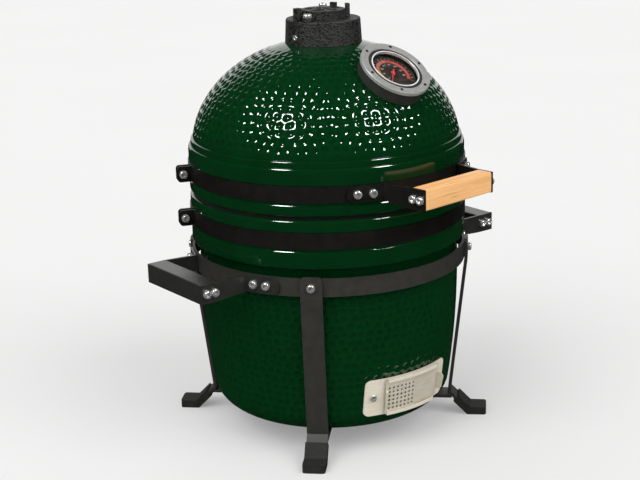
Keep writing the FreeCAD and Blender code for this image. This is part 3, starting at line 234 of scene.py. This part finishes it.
finishes = {
    "blackSteel": {"dark": (0.0056, 0.0050, 0.0040), "light": (0.0072, 0.0064, 0.0052),
                   "roughness": (0.42, 0.48),
                   "mottleScale": 90, "grainScale": 1500, "bump": 0.30, "depth": 0.0002,
                   "sockets": {"Specular IOR Level": 0.35}},
    # the legs' black powder coat, painted lighter than the bands' black to stand in for the light that falls on
    # the legs: painted light
    "litLegSteel": {"dark": (0.0250, 0.0240, 0.0205), "light": (0.0300, 0.0290, 0.0250),
                 "roughness": (0.46, 0.52),
                 "mottleScale": 90, "grainScale": 1500, "bump": 0.30, "depth": 0.0002,
                 "sockets": {"Specular IOR Level": 0.42}},
    "gripSteel": {"dark": (0.0175, 0.0185, 0.0155), "light": (0.0215, 0.0225, 0.0190),
                  "roughness": (0.30, 0.36),
                  "mottleScale": 90, "grainScale": 1500, "bump": 0.25, "depth": 0.0002,
                  "sockets": {"Specular IOR Level": 0.55}},
    # the gauge housing's black, painted lighter to make up for the shade it sits in: painted light
    "litGaugeBlack": {"dark": (0.0250, 0.0270, 0.0225), "light": (0.0300, 0.0320, 0.0270),
                   "roughness": (0.58, 0.68),
                   "mottleScale": 90, "grainScale": 1500, "bump": 0.20, "depth": 0.0002,
                   "sockets": {"Specular IOR Level": 0.15}},
    "paleRing": {"dark": (0.62, 0.62, 0.60), "light": (0.74, 0.74, 0.72), "roughness": (0.30, 0.40),
                 "mottleScale": 200, "grainScale": 1500, "bump": 0.08, "depth": 0.0001, "sockets": {}},
    "brightSteel": {"dark": (0.66, 0.66, 0.64), "light": (0.86, 0.86, 0.84), "roughness": (0.20, 0.34),
                    "mottleScale": 300, "grainScale": 1800, "bump": 0.12, "depth": 0.0001,
                    "sockets": {"Metallic": 0.80}},
    "grateSteel": {"dark": (0.55, 0.54, 0.52), "light": (0.78, 0.77, 0.75), "roughness": (0.18, 0.34),
                   "mottleScale": 160, "grainScale": 1600, "bump": 0.15, "depth": 0.0001,
                   "sockets": {"Metallic": 1.0}},
    "draftSteel": {"dark": (0.70, 0.635, 0.515), "light": (0.77, 0.705, 0.585), "roughness": (0.34, 0.44),
                   "stretch": (1, 1, 7), "mottleScale": 60, "grainScale": 520, "bump": 0.16, "depth": 0.0002,
                   "sockets": {"Metallic": 0.16}},
    "doorSteel": {"dark": (0.56, 0.515, 0.42), "light": (0.64, 0.590, 0.485), "roughness": (0.34, 0.44),
                  "stretch": (1, 1, 7), "mottleScale": 60, "grainScale": 520, "bump": 0.16, "depth": 0.0002,
                  "sockets": {"Metallic": 0.24}},
    "bezelSteel": {"dark": (0.34, 0.345, 0.335), "light": (0.42, 0.425, 0.415), "roughness": (0.34, 0.42),
                   "stretch": (1, 6, 6), "mottleScale": 110, "grainScale": 700, "bump": 0.10, "depth": 0.0001,
                   "sockets": {"Metallic": 0.40}},
    "castIron": {"dark": (0.0035, 0.0035, 0.0032), "light": (0.023, 0.023, 0.021), "roughness": (0.46, 0.74),
                 "spread": (0.42, 0.60), "mottleScale": 360, "grainScale": 420, "detail": 3.0, "bump": 1.0,
                 "depth": 0.0012, "sockets": {}},
    "fireClay": {"dark": (0.42, 0.33, 0.24), "light": (0.66, 0.56, 0.44), "roughness": (0.82, 0.95),
                 "mottleScale": 55, "grainScale": 480, "detail": 6.0, "bump": 0.6, "depth": 0.0006,
                 "sockets": {"Specular IOR Level": 0.3}},
    # black gasket felt, darkened further to paint the shade in the gap between lid and base
    "felt": {"dark": (0.003, 0.003, 0.003), "light": (0.009, 0.009, 0.0085), "roughness": (0.9, 1.0),
             "mottleScale": 900, "grainScale": 1400, "detail": 6.0, "bump": 0.9, "depth": 0.0005,
             "sockets": {"Sheen Weight": 0.04, "Specular IOR Level": 0.1}},
    "footRubber": {"dark": (0.014, 0.014, 0.0125), "light": (0.020, 0.020, 0.018), "roughness": (0.66, 0.76),
                   "mottleScale": 140, "grainScale": 1300, "bump": 0.4, "depth": 0.0002,
                   "sockets": {"Specular IOR Level": 0.18}},
    "dialBlack": {"dark": (0.024, 0.015, 0.011), "light": (0.034, 0.022, 0.017), "roughness": (0.45, 0.55),
                  "mottleScale": 200, "grainScale": 1500, "bump": 0.1, "depth": 0.0001,
                  "sockets": {}},
    "printYellow": {"dark": (0.50, 0.29, 0.035), "light": (0.58, 0.35, 0.05), "roughness": (0.5, 0.6),
                    "mottleScale": 500, "grainScale": 1500, "bump": 0.05, "depth": 0.0001, "sockets": {}},
    "printPink": {"dark": (0.46, 0.125, 0.095), "light": (0.54, 0.16, 0.125), "roughness": (0.5, 0.6),
                  "mottleScale": 500, "grainScale": 1500, "bump": 0.05, "depth": 0.0001, "sockets": {}},
    "printRed": {"dark": (0.42, 0.048, 0.028), "light": (0.50, 0.066, 0.040), "roughness": (0.5, 0.6),
                 "mottleScale": 500, "grainScale": 1500, "bump": 0.05, "depth": 0.0001, "sockets": {}},
    "printPale": {"dark": (0.50, 0.48, 0.46), "light": (0.60, 0.58, 0.55), "roughness": (0.5, 0.6),
                  "mottleScale": 500, "grainScale": 1500, "bump": 0.05, "depth": 0.0001, "sockets": {}},
    "needleRed": {"dark": (0.50, 0.025, 0.02), "light": (0.60, 0.04, 0.03), "roughness": (0.35, 0.45),
                  "mottleScale": 400, "grainScale": 1500, "bump": 0.05, "depth": 0.0001, "sockets": {}},
}
materials = {name: makeFinish(name, look) for name, look in finishes.items()}


# glaze: darker where it pools in the dimples, a little paler on the ridges, and bare fired clay inside

glaze = {"pooled": (0.0009, 0.0200, 0.0044), "plain": (0.0011, 0.0245, 0.0056),
         "ridge": (0.0013, 0.0290, 0.0068), "roughness": (0.045, 0.085), "mottleScale": 26,
         "cloud": (0.3, 0.7), "pittingScale": 330, "pitting": 0.04, "pittingDepth": 0.0006, "specular": 0.5,
         "bare": (0.50, 0.43, 0.34), "bareRough": 0.85}


def makeGlaze():
    material, tree, skin = newMaterial("greenGlaze")
    ridge = tree.nodes.new("ShaderNodeAttribute")
    ridge.attribute_name = "ridge"
    cloud = addGrain(tree, glaze["mottleScale"], 4.0, (1, 1, 1), *glaze["cloud"])
    pits = addGrain(tree, glaze["pittingScale"], 2.0, (1, 1, 1))
    base = mixColour(tree, cloud.outputs["Mask"], glaze["pooled"], glaze["plain"])
    shade = tree.nodes.new("ShaderNodeMix")
    shade.data_type = "RGBA"
    shade.inputs["B"].default_value = (*glaze["ridge"], 1)
    tree.links.new(ridge.outputs["Fac"], shade.inputs["Factor"])
    tree.links.new(base, shade.inputs["A"])
    inside = tree.nodes.new("ShaderNodeAttribute")
    inside.attribute_name = "bare"
    clay = tree.nodes.new("ShaderNodeMix")
    clay.data_type = "RGBA"
    clay.inputs["B"].default_value = (*glaze["bare"], 1)
    tree.links.new(inside.outputs["Fac"], clay.inputs["Factor"])
    tree.links.new(shade.outputs["Result"], clay.inputs["A"])
    tree.links.new(clay.outputs["Result"], skin.inputs["Base Color"])
    rough = tree.nodes.new("ShaderNodeMix")
    rough.inputs["B"].default_value = glaze["bareRough"]
    tree.links.new(inside.outputs["Fac"], rough.inputs["Factor"])
    tree.links.new(mixValue(tree, cloud.outputs["Mask"], *glaze["roughness"]), rough.inputs["A"])
    tree.links.new(rough.outputs["Result"], skin.inputs["Roughness"])
    tree.links.new(bumpOn(tree, pits.outputs["Height"], glaze["pitting"], glaze["pittingDepth"]),
                   skin.inputs["Normal"])
    skin.inputs["Specular IOR Level"].default_value = glaze["specular"]
    return material


materials["greenGlaze"] = makeGlaze()


# oiled laminated bar: long fine streaks, a few darker pores and faint joint lines between the laminations

bar = {"pale": (0.87, 0.49, 0.200), "honey": (0.72, 0.37, 0.135), "pore": (0.38, 0.18, 0.060),
       "streaks": (7, 150, 150), "streakSpread": (0.32, 0.70), "pores": (26, 620, 620),
       "poreSpread": (0.60, 0.74), "poreDepth": 0.7, "lamination": 0.0062, "seam": (0.93, 0.985),
       "seamDepth": 0.45, "roughness": (0.42, 0.56), "bump": 0.25, "depth": 0.0004}


def makeBar():
    material, tree, skin = newMaterial("oiledBar")
    streak = addGrain(tree, 1.0, 5.0, bar["streaks"], *bar["streakSpread"])
    pore = addGrain(tree, 1.0, 3.0, bar["pores"], *bar["poreSpread"])
    place = tree.nodes.new("ShaderNodeTexCoord")
    split = tree.nodes.new("ShaderNodeSeparateXYZ")
    layer = tree.nodes.new("ShaderNodeMath")
    layer.operation = "DIVIDE"
    layer.inputs[1].default_value = bar["lamination"]
    part = tree.nodes.new("ShaderNodeMath")
    part.operation = "FRACT"
    seam = tree.nodes.new("ShaderNodeMapRange")
    seam.inputs["From Min"].default_value, seam.inputs["From Max"].default_value = bar["seam"]
    seam.inputs["To Max"].default_value = bar["seamDepth"]
    tree.links.new(place.outputs["Object"], split.inputs[0])
    tree.links.new(split.outputs["Z"], layer.inputs[0])
    tree.links.new(layer.outputs[0], part.inputs[0])
    tree.links.new(part.outputs[0], seam.inputs["Value"])
    darkest = tree.nodes.new("ShaderNodeMath")
    darkest.operation = "MAXIMUM"
    tree.links.new(seam.outputs["Result"], darkest.inputs[0])
    tree.links.new(mixValue(tree, pore.outputs["Mask"], 0.0, bar["poreDepth"]), darkest.inputs[1])
    shade = tree.nodes.new("ShaderNodeMix")
    shade.data_type = "RGBA"
    shade.inputs["B"].default_value = (*bar["pore"], 1)
    tree.links.new(mixColour(tree, streak.outputs["Mask"], bar["pale"], bar["honey"]), shade.inputs["A"])
    tree.links.new(darkest.outputs[0], shade.inputs["Factor"])
    tree.links.new(shade.outputs["Result"], skin.inputs["Base Color"])
    tree.links.new(mixValue(tree, streak.outputs["Mask"], *bar["roughness"]), skin.inputs["Roughness"])
    tree.links.new(bumpOn(tree, streak.outputs["Height"], bar["bump"], bar["depth"]), skin.inputs["Normal"])
    return material


materials["oiledBar"] = makeBar()


glass = {"tint": (0.97, 0.98, 0.98, 1), "ior": 1.45, "smearScale": 120, "smearSpread": (0.45, 0.75),
         "roughness": (0.0, 0.03)}


def makeGlass():
    material, tree, skin = newMaterial("gaugeGlass")
    smear = addGrain(tree, glass["smearScale"], 3.0, (1, 1, 1), *glass["smearSpread"])
    tree.links.new(mixValue(tree, smear.outputs["Mask"], *glass["roughness"]), skin.inputs["Roughness"])
    skin.inputs["Base Color"].default_value = glass["tint"]
    skin.inputs["Transmission Weight"].default_value = 1.0
    skin.inputs["IOR"].default_value = glass["ior"]
    return material


materials["gaugeGlass"] = makeGlass()

finishOf = {
    "blackSteel": ["base_band", "base_hinge_strap", "lid_band", "lid_hinge_strap", "lid_handle_arm_left",
                   "lid_handle_arm_right", "gauge_bezel_screws"],
    # the housing takes the lighter black, painted light in place of the light its shaded spot lacks
    "litGaugeBlack": ["gauge_housing"],
    # the ring and legs take the lighter copy of the black steel, painted light on the parts facing the lamps
    "litLegSteel": ["stand_ring", "leg_front_left", "leg_front_right", "leg_rear_right",
                 "leg_rear_left"],
    "gripSteel": ["left_handle_grip", "left_handle_arm_front", "left_handle_arm_rear", "right_handle_grip",
                  "right_handle_arm_front", "right_handle_arm_rear"],
    "paleRing": ["gauge_trim_ring"],
    "brightSteel": ["base_band_bolts", "lid_band_bolts", "hinge_pin", "hinge_nut", "leg_bolts",
                    "side_handle_bolts", "lid_handle_bolts", "draft_frame_screws", "gauge_probe",
                    "gauge_probe_nut", "vent_collar_screws", "vent_pivot_screw", "vent_wheel_screw"],
    "grateSteel": ["cooking_grate"],
    "draftSteel": ["draft_frame"],
    "doorSteel": ["draft_door", "draft_screen"],
    "bezelSteel": ["gauge_bezel"],
    "castIron": ["charcoal_grate", "vent_collar", "vent_disc", "vent_wheel"],
    "fireClay": ["firebox", "fire_ring"],
    # the gaskets carry the felt black plus painted shade of the gap they sit in
    "felt": ["base_gasket", "lid_gasket"],
    "footRubber": ["foot_cap_front_left", "foot_cap_front_right", "foot_cap_rear_right",
                   "foot_cap_rear_left"],
    "dialBlack": ["gauge_dial"],
    "needleRed": ["gauge_needle"],
    "oiledBar": ["lid_handle_grip"],
    "gaugeGlass": ["gauge_glass"],
    "greenGlaze": ["base_shell", "lid_skirt", "lid_shell", "lid_crown"],
}


def paint(piece, finish):
    if not piece.material_slots:
        piece.data.materials.append(None)
    for place in piece.material_slots:
        place.link = "OBJECT"
        place.material = materials[finish]


for finish, names in finishOf.items():
    for name in names:
        paint(nodes[name], finish)
finished = {name for names in finishOf.values() for name in names}
print("finishes:", len(materials), "left plain:", sorted(set(nodes) - finished))


# pot and lid: turned sections with a dimpled skin

shell = {"turns": 540, "turnStartDeg": -0.2, "cellPitch": 11.4, "cellRow": 9.9, "cellShift": 2.0,
         "depth": 1.9, "fade": 9.0, "edgeRound": 4.5, "edgeDrop": 3.0, "ridgeFrom": 0.72, "weld": 0.00002,
         "sharpDeg": 35, "seed": 7}
pot = {"floor": 26.0, "sole": 119.0, "heel": (150.4, 49.0), "waist": (162.0, 232.0), "bulge": 4.2,
       "smoothLow": 243.0, "radius": 171.0, "groove": (266.5, 287.0, 169.8), "rim": 301.0, "rimRound": 4.0,
       "rimInner": 148.0, "wall": 20.0, "innerSole": 99.0, "innerFloor": 46.0,
       "innerHeel": ((4.0, 50.5), (12.0, 47.0)), "innerHeights": (200.0, 165.0, 130.0, 105.0),
       "heelSteps": 18, "wallStart": 51.5, "wallSteps": 76,
       "reliefLow": 30.0, "reliefHigh": 231.0, "reliefRadius": 145.0}
window = {"middleDeg": -5.2, "halfDeg": 15.0, "low": 54.0, "high": 84.0, "rows": 15}
lid = {"rim": 305.0, "radius": 171.0, "rimRound": 4.0, "rimInner": 148.0, "groove": (321.5, 342.0, 169.8),
       "spring": 355.0, "ledge": 361.5, "wide": 166.0, "high": 131.0, "neck": 42.0, "neckTop": 500.0,
       "flue": 30.0, "innerWide": 146.0, "innerHigh": 113.0, "reliefLow": 371.5, "reliefHigh": 478.0,
       "rollOut": 2.2, "rollHigh": 369.5, "rollRound": 3.0, "domeSteps": 100, "innerSteps": 22, "near": 4.0}


def wallRadius(z):
    # the wall from heel to waist is one shallow arc that bows outward
    (r0, z0), (r1, z1) = pot["heel"], pot["waist"]
    half = math.hypot(r1 - r0, z1 - z0) / 2
    radius = (half ** 2 + pot["bulge"] ** 2) / (2 * pot["bulge"])
    back = (radius - pot["bulge"]) / (2 * half)
    middle = ((r0 + r1) / 2 - (z1 - z0) * back, (z0 + z1) / 2 - (r0 - r1) * back)
    return middle[0] + math.sqrt(radius ** 2 - (z - middle[1]) ** 2)


def corner(start, sharp, end, count=4):
    # a quarter ellipse in place of a sharp corner
    centre = (start[0] + end[0] - sharp[0], start[1] + end[1] - sharp[1])
    points = []
    for k in range(1, count + 1):
        t = math.pi / 2 * k / count
        points.append(tuple(c + (s - c) * math.cos(t) + (e - c) * math.sin(t)
                            for c, s, e in zip(centre, start, end)))
    return points


def easedEdge(inner, outer, top):
    # the upper edge of a strip a little below a band, rounded from its face back to the band's seat
    turn = math.acos(1 - (outer - inner) / shell["edgeRound"])
    high = top - shell["edgeDrop"]
    bends = [turn * k / 5 for k in range(6)]
    arc = [(outer - shell["edgeRound"] * (1 - math.cos(bend)),
            high - shell["edgeRound"] * (math.sin(turn) - math.sin(bend))) for bend in bends]
    return arc + [(inner, top)]


def ellipseRun(start, end, wide, high, spring, count):
    # by equal angle steps between two radii
    first, last = [math.acos(min(1.0, r / wide)) for r in (start, end)]
    turns = [first + (last - first) * k / count for k in range(1, count + 1)]
    return [(wide * math.cos(turn), spring + high * math.sin(turn)) for turn in turns]


def straight(start, end, count):
    return [tuple(s + (e - s) * k / count for s, e in zip(start, end)) for k in range(1, count + 1)]


def turnedShell(name, section, closed):
    # spins a half section round the Z axis and closes its seam and poles
    work = bmesh.new()
    points = [work.verts.new((r * mm, 0, z * mm)) for r, z in section]
    pairs = list(zip(points, points[1:])) + ([(points[-1], points[0])] if closed else [])
    edges = [work.edges.new(pair) for pair in pairs]
    start = Matrix.Rotation(math.radians(shell["turnStartDeg"] - 90), 3, "Z")
    bmesh.ops.rotate(work, verts=points, cent=(0, 0, 0), matrix=start)
    bmesh.ops.spin(work, geom=points + edges, cent=(0, 0, 0), axis=(0, 0, 1), angle=2 * math.pi,
                   steps=shell["turns"], use_merge=True)
    bmesh.ops.remove_doubles(work, verts=work.verts, dist=shell["weld"])
    bmesh.ops.recalc_face_normals(work, faces=work.faces)
    work.normal_update()
    print(name, "turned:", len(work.faces), "faces")
    return work


def leaveBare(work, inside):
    # marks the unglazed inner surface
    bare = work.verts.layers.float.new("bare")
    for vert in work.verts:
        vert[bare] = 1.0 if inside(math.hypot(vert.co.x, vert.co.y) / mm, vert.co.z / mm) else 0.0


def cellCentres(line):
    # rows of dimple centres along a run of the section, each row shifted and a little uneven
    chance = random.Random(shell["seed"])
    spots, travelled, due = [], 0.0, 0.0
    for (r0, z0), (r1, z1) in zip(line, line[1:]):
        run = math.hypot(r1 - r0, z1 - z0)
        while due <= travelled + run:
            share = (due - travelled) / run
            r, z = r0 + (r1 - r0) * share, z0 + (z1 - z0) * share
            count = max(6, round(2 * math.pi * r / shell["cellPitch"]))
            lead = chance.random()
            for k in range(count):
                turn = 2 * math.pi * (k + lead) / count
                turn += chance.uniform(-1, 1) * shell["cellShift"] / max(r, 20)
                rise = chance.uniform(-1, 1) * shell["cellShift"]
                slope = ((r1 - r0) / run * rise, (z1 - z0) / run * rise)
                spots.append(Vector(((r + slope[0]) * math.cos(turn), (r + slope[0]) * math.sin(turn),
                                     z + slope[1])) * mm)
            due += shell["cellRow"]
        travelled += run
    return spots


def dimple(work, spots, low, high, inner):
    # sinks each cell's middle and leaves the ridges between cells on the turned surface
    tree = kdtree.KDTree(len(spots))
    for number, spot in enumerate(spots):
        tree.insert(spot, number)
    tree.balance()
    ridge = work.verts.layers.float.new("ridge")
    moves = []
    for vert in work.verts:
        r, z = math.hypot(vert.co.x, vert.co.y) / mm, vert.co.z / mm
        if not low < z < high or r < inner(z):
            continue
        fade = min(1.0, (z - low) / shell["fade"], (high - z) / shell["fade"])
        (_, _, nearest), (_, _, second) = tree.find_n(vert.co, 2)
        share = 2 * nearest / (nearest + second)
        sink = 0.5 + 0.5 * math.cos(math.pi * share)
        moves.append((vert, vert.normal * (-shell["depth"] * mm * fade * sink)))
        vert[ridge] = max(0.0, share - shell["ridgeFrom"]) / (1 - shell["ridgeFrom"]) * fade
    for vert, move in moves:
        vert.co += move


def finishPiece(name, work, body, slot, finish, *stoodFor):
    mesh = bpy.data.meshes.new(name)
    work.to_mesh(mesh)
    work.free()
    piece = bpy.data.objects.new(name, mesh)
    bpy.context.scene.collection.objects.link(piece)
    paint(piece, finish)
    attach(piece, body)
    if stoodFor:
        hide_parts(*stoodFor)
    return piece


def smoothOver(piece, degrees):
    # smooth shading with sharp edges kept past the angle
    for face in piece.data.polygons:
        face.use_smooth = True
    work = bmesh.new()
    work.from_mesh(piece.data)
    for edge in work.edges:
        if len(edge.link_faces) == 2 and edge.calc_face_angle(0) > math.radians(degrees):
            edge.smooth = False
    work.to_mesh(piece.data)
    work.free()


def potSection():
    run, rise = pot["heel"][0] - pot["sole"], pot["heel"][1] - pot["floor"]
    heelRadius = (run ** 2 + rise ** 2) / (2 * rise)
    heelTurn = 2 * math.atan2(rise, run)
    outer = [(r, pot["floor"]) for r in (0.0, 40.0, 80.0, 104.0, pot["sole"])]
    bends = [heelTurn * k / pot["heelSteps"] for k in range(1, pot["heelSteps"] + 1)]
    outer += [(pot["sole"] + heelRadius * math.sin(bend), pot["floor"] + heelRadius * (1 - math.cos(bend)))
              for bend in bends]
    step = (window["high"] - window["low"]) / window["rows"]
    mouth = [window["low"] + step * k for k in range(window["rows"] + 1)]
    climb = (pot["waist"][1] - window["high"]) / pot["wallSteps"]
    above = [window["high"] + climb * k for k in range(1, pot["wallSteps"] + 1)]
    outer += [(wallRadius(z), z) for z in [pot["wallStart"]] + mouth + above]
    waist, low, edge, groove = pot["waist"][0], pot["smoothLow"], pot["radius"] - 2, pot["groove"]
    section = outer + corner((waist, pot["waist"][1]), (waist, low), (waist + 4, low)) + [(edge, low)]
    section += corner((edge, low), (pot["radius"], low), (pot["radius"], low + 2))
    section += easedEdge(groove[2], pot["radius"], groove[0])
    section += [(groove[2], groove[1]), (pot["radius"], groove[1])]
    section += straight(section[-1], (pot["radius"], pot["rim"] - pot["rimRound"]), 3)
    section += corner(section[-1], (pot["radius"], pot["rim"]),
                      (pot["radius"] - pot["rimRound"], pot["rim"]), 5)
    section += [(pot["rimInner"], pot["rim"])]
    inside = [pot["waist"][1], *pot["innerHeights"], *mouth[::-1]]
    section += [(wallRadius(z) - pot["wall"], z) for z in inside]
    foot = section[-1][0]
    section += [(foot - inset, z) for inset, z in pot["innerHeel"]]
    return section + [(r, pot["innerFloor"]) for r in (pot["innerSole"], 50.0, 0.0)], outer


def cutWindow(work):
    # takes the draft window out of both walls and closes its reveal
    doomed = []
    for face in work.faces:
        middle = face.calc_center_median()
        azimuth = math.degrees(math.atan2(middle.x, -middle.y))
        inside = abs(azimuth - window["middleDeg"]) < window["halfDeg"]
        if inside and window["low"] < middle.z / mm < window["high"]:
            doomed.append(face)
    bmesh.ops.delete(work, geom=doomed, context="FACES")
    edges = [edge for edge in work.edges if edge.is_boundary]
    bmesh.ops.bridge_loops(work, edges=edges)
    print("window:", len(doomed), "faces out,", sum(edge.is_boundary for edge in work.edges), "open edges")


section, outerRun = potSection()
work = turnedShell("pot", section, False)
leaveBare(work, lambda r, z: z > pot["innerFloor"] - 1 and r < min(
    pot["rimInner"] + 1, wallRadius(min(z, pot["waist"][1])) - pot["wall"] / 2))
relief = [p for p in outerRun if p[1] > pot["reliefLow"] - 2]
dimple(work, cellCentres(relief), pot["reliefLow"], pot["reliefHigh"],
       lambda z: pot["reliefRadius"] - max(0, pot["heel"][1] + 1 - z) * 0.9)
cutWindow(work)
potPiece = finishPiece("base_glaze", work, "pot_and_stand", "green_glaze", "greenGlaze", "base_shell")
smoothOver(potPiece, shell["sharpDeg"])


def domeRadius(z):
    return lid["wide"] * math.sqrt(1 - ((z - lid["spring"]) / lid["high"]) ** 2)


def lidSection():
    groove, top = lid["groove"], lid["ledge"]
    section = [(lid["radius"] - lid["rimRound"], lid["rim"])]
    section += corner(section[-1], (lid["radius"], lid["rim"]),
                      (lid["radius"], lid["rim"] + lid["rimRound"]), 5)
    section += easedEdge(groove[2], lid["radius"], groove[0])
    section += [(groove[2], groove[1]), (lid["radius"], groove[1])]
    section += straight(section[-1], (lid["radius"], lid["spring"]), 4)
    section += corner(section[-1], (lid["radius"], top), (domeRadius(top) + lid["rollOut"], top), 8)
    rollHigh, rollSide = lid["rollHigh"], lid["rollHigh"] - lid["rollRound"]
    section += [(domeRadius(rollSide) + lid["rollOut"], rollSide)]
    section += corner(section[-1], (section[-1][0], rollHigh), (domeRadius(rollHigh), rollHigh), 6)
    dome = ellipseRun(domeRadius(rollHigh), lid["neck"], lid["wide"], lid["high"], lid["spring"],
                      lid["domeSteps"])
    section += dome + [(lid["neck"], lid["neckTop"]), (lid["flue"], lid["neckTop"])]
    inner = ellipseRun(lid["flue"], lid["innerWide"], lid["innerWide"], lid["innerHigh"], lid["spring"],
                       lid["innerSteps"])
    reach = lid["innerHigh"] * math.sqrt(1 - (lid["flue"] / lid["innerWide"]) ** 2)
    section += [(lid["flue"], lid["spring"] + reach)] + inner + [(lid["rimInner"], lid["rim"])]
    return section, dome


section, domeRun = lidSection()
work = turnedShell("lid", section, True)
leaveBare(work, lambda r, z: r < lid["rimInner"] + 1 and z < lid["spring"] + (lid["innerHigh"] + lid["near"])
          * math.sqrt(max(0.0, 1 - (r / (lid["innerWide"] + lid["near"])) ** 2)))
dimple(work, cellCentres(domeRun), lid["reliefLow"], lid["reliefHigh"],
       lambda z: (lid["wide"] - 2 * lid["near"])
       * math.sqrt(max(0.0, 1 - ((z - lid["spring"]) / (lid["high"] - lid["near"])) ** 2)))
lidPiece = finishPiece("lid_glaze", work, "lid", "green_glaze", "greenGlaze", "lid_skirt", "lid_shell",
                       "lid_crown")
smoothOver(lidPiece, shell["sharpDeg"])
print("shells dimpled")


# thermometer print: coloured arc, ticks and plain numbers on the dial

dialPrint = {"dialHalf": 0.4, "lift": 0.09, "thick": 0.05, "arcInner": 17.6, "arcOuter": 21.8,
             "tickInner": 23.0, "tickOuter": 25.4, "tickHalfDeg": 0.5,
             "arcs": (("printYellow", 250, 296), ("printPink", 296, 368), ("printRed", 368, 492)),
             "tickFrom": 225, "tickTo": 495, "tickStep": 13.5,
             "numbers": (50, 100, 150, 200, 250, 300, 350, 400), "numberRadius": 14.2, "numberSize": 3.2}
needleJoint = next(j for j in frame["joints"] if j["name"] == "thermometer_needle")
outward = -Vector(needleJoint["axis"]).normalized()
upSlope = outward.cross(Vector((-1, 0, 0))).normalized()
upSlope = upSlope if upSlope.z > 0 else -upSlope
rightward = upSlope.cross(outward)
low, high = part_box("gauge_dial")
dialTop = (low + high) / 2 + outward * (dialPrint["dialHalf"] + dialPrint["lift"]) * mm
dialFrame = Matrix((rightward, upSlope, outward)).transposed().to_4x4()
dialFrame.translation = dialTop


def clockPoint(radius, degrees):
    turn = math.radians(degrees)
    return Vector((radius * math.sin(turn), radius * math.cos(turn), 0)) * mm


def printArc(work, inner, outer, start, end):
    # a thin strip spun clockwise round the dial
    points = [work.verts.new(clockPoint(r, start)) for r in (inner, outer)]
    edge = work.edges.new(points)
    bmesh.ops.spin(work, geom=points + [edge], cent=(0, 0, 0), axis=(0, 0, -1),
                   angle=math.radians(end - start), steps=max(1, round((end - start) / 4)))


def thicken(work):
    raised = bmesh.ops.extrude_face_region(work, geom=work.faces[:])
    bmesh.ops.translate(work, verts=[v for v in raised["geom"] if isinstance(v, bmesh.types.BMVert)],
                        vec=(0, 0, dialPrint["thick"] * mm))
    bmesh.ops.recalc_face_normals(work, faces=work.faces)
    bmesh.ops.transform(work, verts=work.verts, matrix=dialFrame)


for finish, start, end in dialPrint["arcs"]:
    work = bmesh.new()
    printArc(work, dialPrint["arcInner"], dialPrint["arcOuter"], start, end)
    thicken(work)
    finishPiece("dial_" + finish, work, "lid", "dial_face", finish)

work = bmesh.new()
turn = dialPrint["tickFrom"]
while turn <= dialPrint["tickTo"] + 0.1:
    printArc(work, dialPrint["tickInner"], dialPrint["tickOuter"], turn - dialPrint["tickHalfDeg"],
             turn + dialPrint["tickHalfDeg"])
    turn += dialPrint["tickStep"]
thicken(work)
finishPiece("dial_ticks", work, "lid", "dial_face", "printPale")

work = bmesh.new()
span = dialPrint["tickTo"] - dialPrint["tickFrom"]
for number, value in enumerate(dialPrint["numbers"]):
    font = bpy.data.curves.new("number", "FONT")
    font.body = str(value)
    font.size = dialPrint["numberSize"] * mm
    font.align_x, font.align_y = "CENTER", "CENTER"
    font.resolution_u = 2
    written = bpy.data.objects.new("number", font)
    bpy.context.scene.collection.objects.link(written)
    bpy.context.view_layer.update()
    mesh = bpy.data.meshes.new_from_object(written.evaluated_get(bpy.context.evaluated_depsgraph_get()))
    turn = dialPrint["tickFrom"] + span * (number + 0.5) / len(dialPrint["numbers"])
    mesh.transform(Matrix.Translation(clockPoint(dialPrint["numberRadius"], turn)))
    work.from_mesh(mesh)
    bpy.data.objects.remove(written)
bmesh.ops.remove_doubles(work, verts=work.verts, dist=0.000005)
thicken(work)
finishPiece("dial_numbers", work, "lid", "dial_face", "printPale")
print("dial printed")


# floor

ground = {"size": 60.0, "colour": (0.45, 0.45, 0.447), "shade": (0.46, 0.46, 0.457), "glow": 0.255}
work = bmesh.new()
bmesh.ops.create_grid(work, x_segments=1, y_segments=1, size=ground["size"] / 2)
mesh = bpy.data.meshes.new("floor")
work.to_mesh(mesh)
work.free()
floor = bpy.data.objects.new("floor", mesh)
bpy.context.scene.collection.objects.link(floor)
materials["floor"] = makeFinish("floor", {
    "dark": ground["colour"], "light": ground["shade"], "roughness": (0.8, 0.9), "mottleScale": 2,
    "grainScale": 30, "bump": 0.0, "depth": 0.0001,
    "sockets": {"Specular IOR Level": 0.0, "Emission Color": (1, 1, 1, 1), "Emission Strength": ground["glow"]}})
paint(floor, "floor")
floor.visible_glossy = False
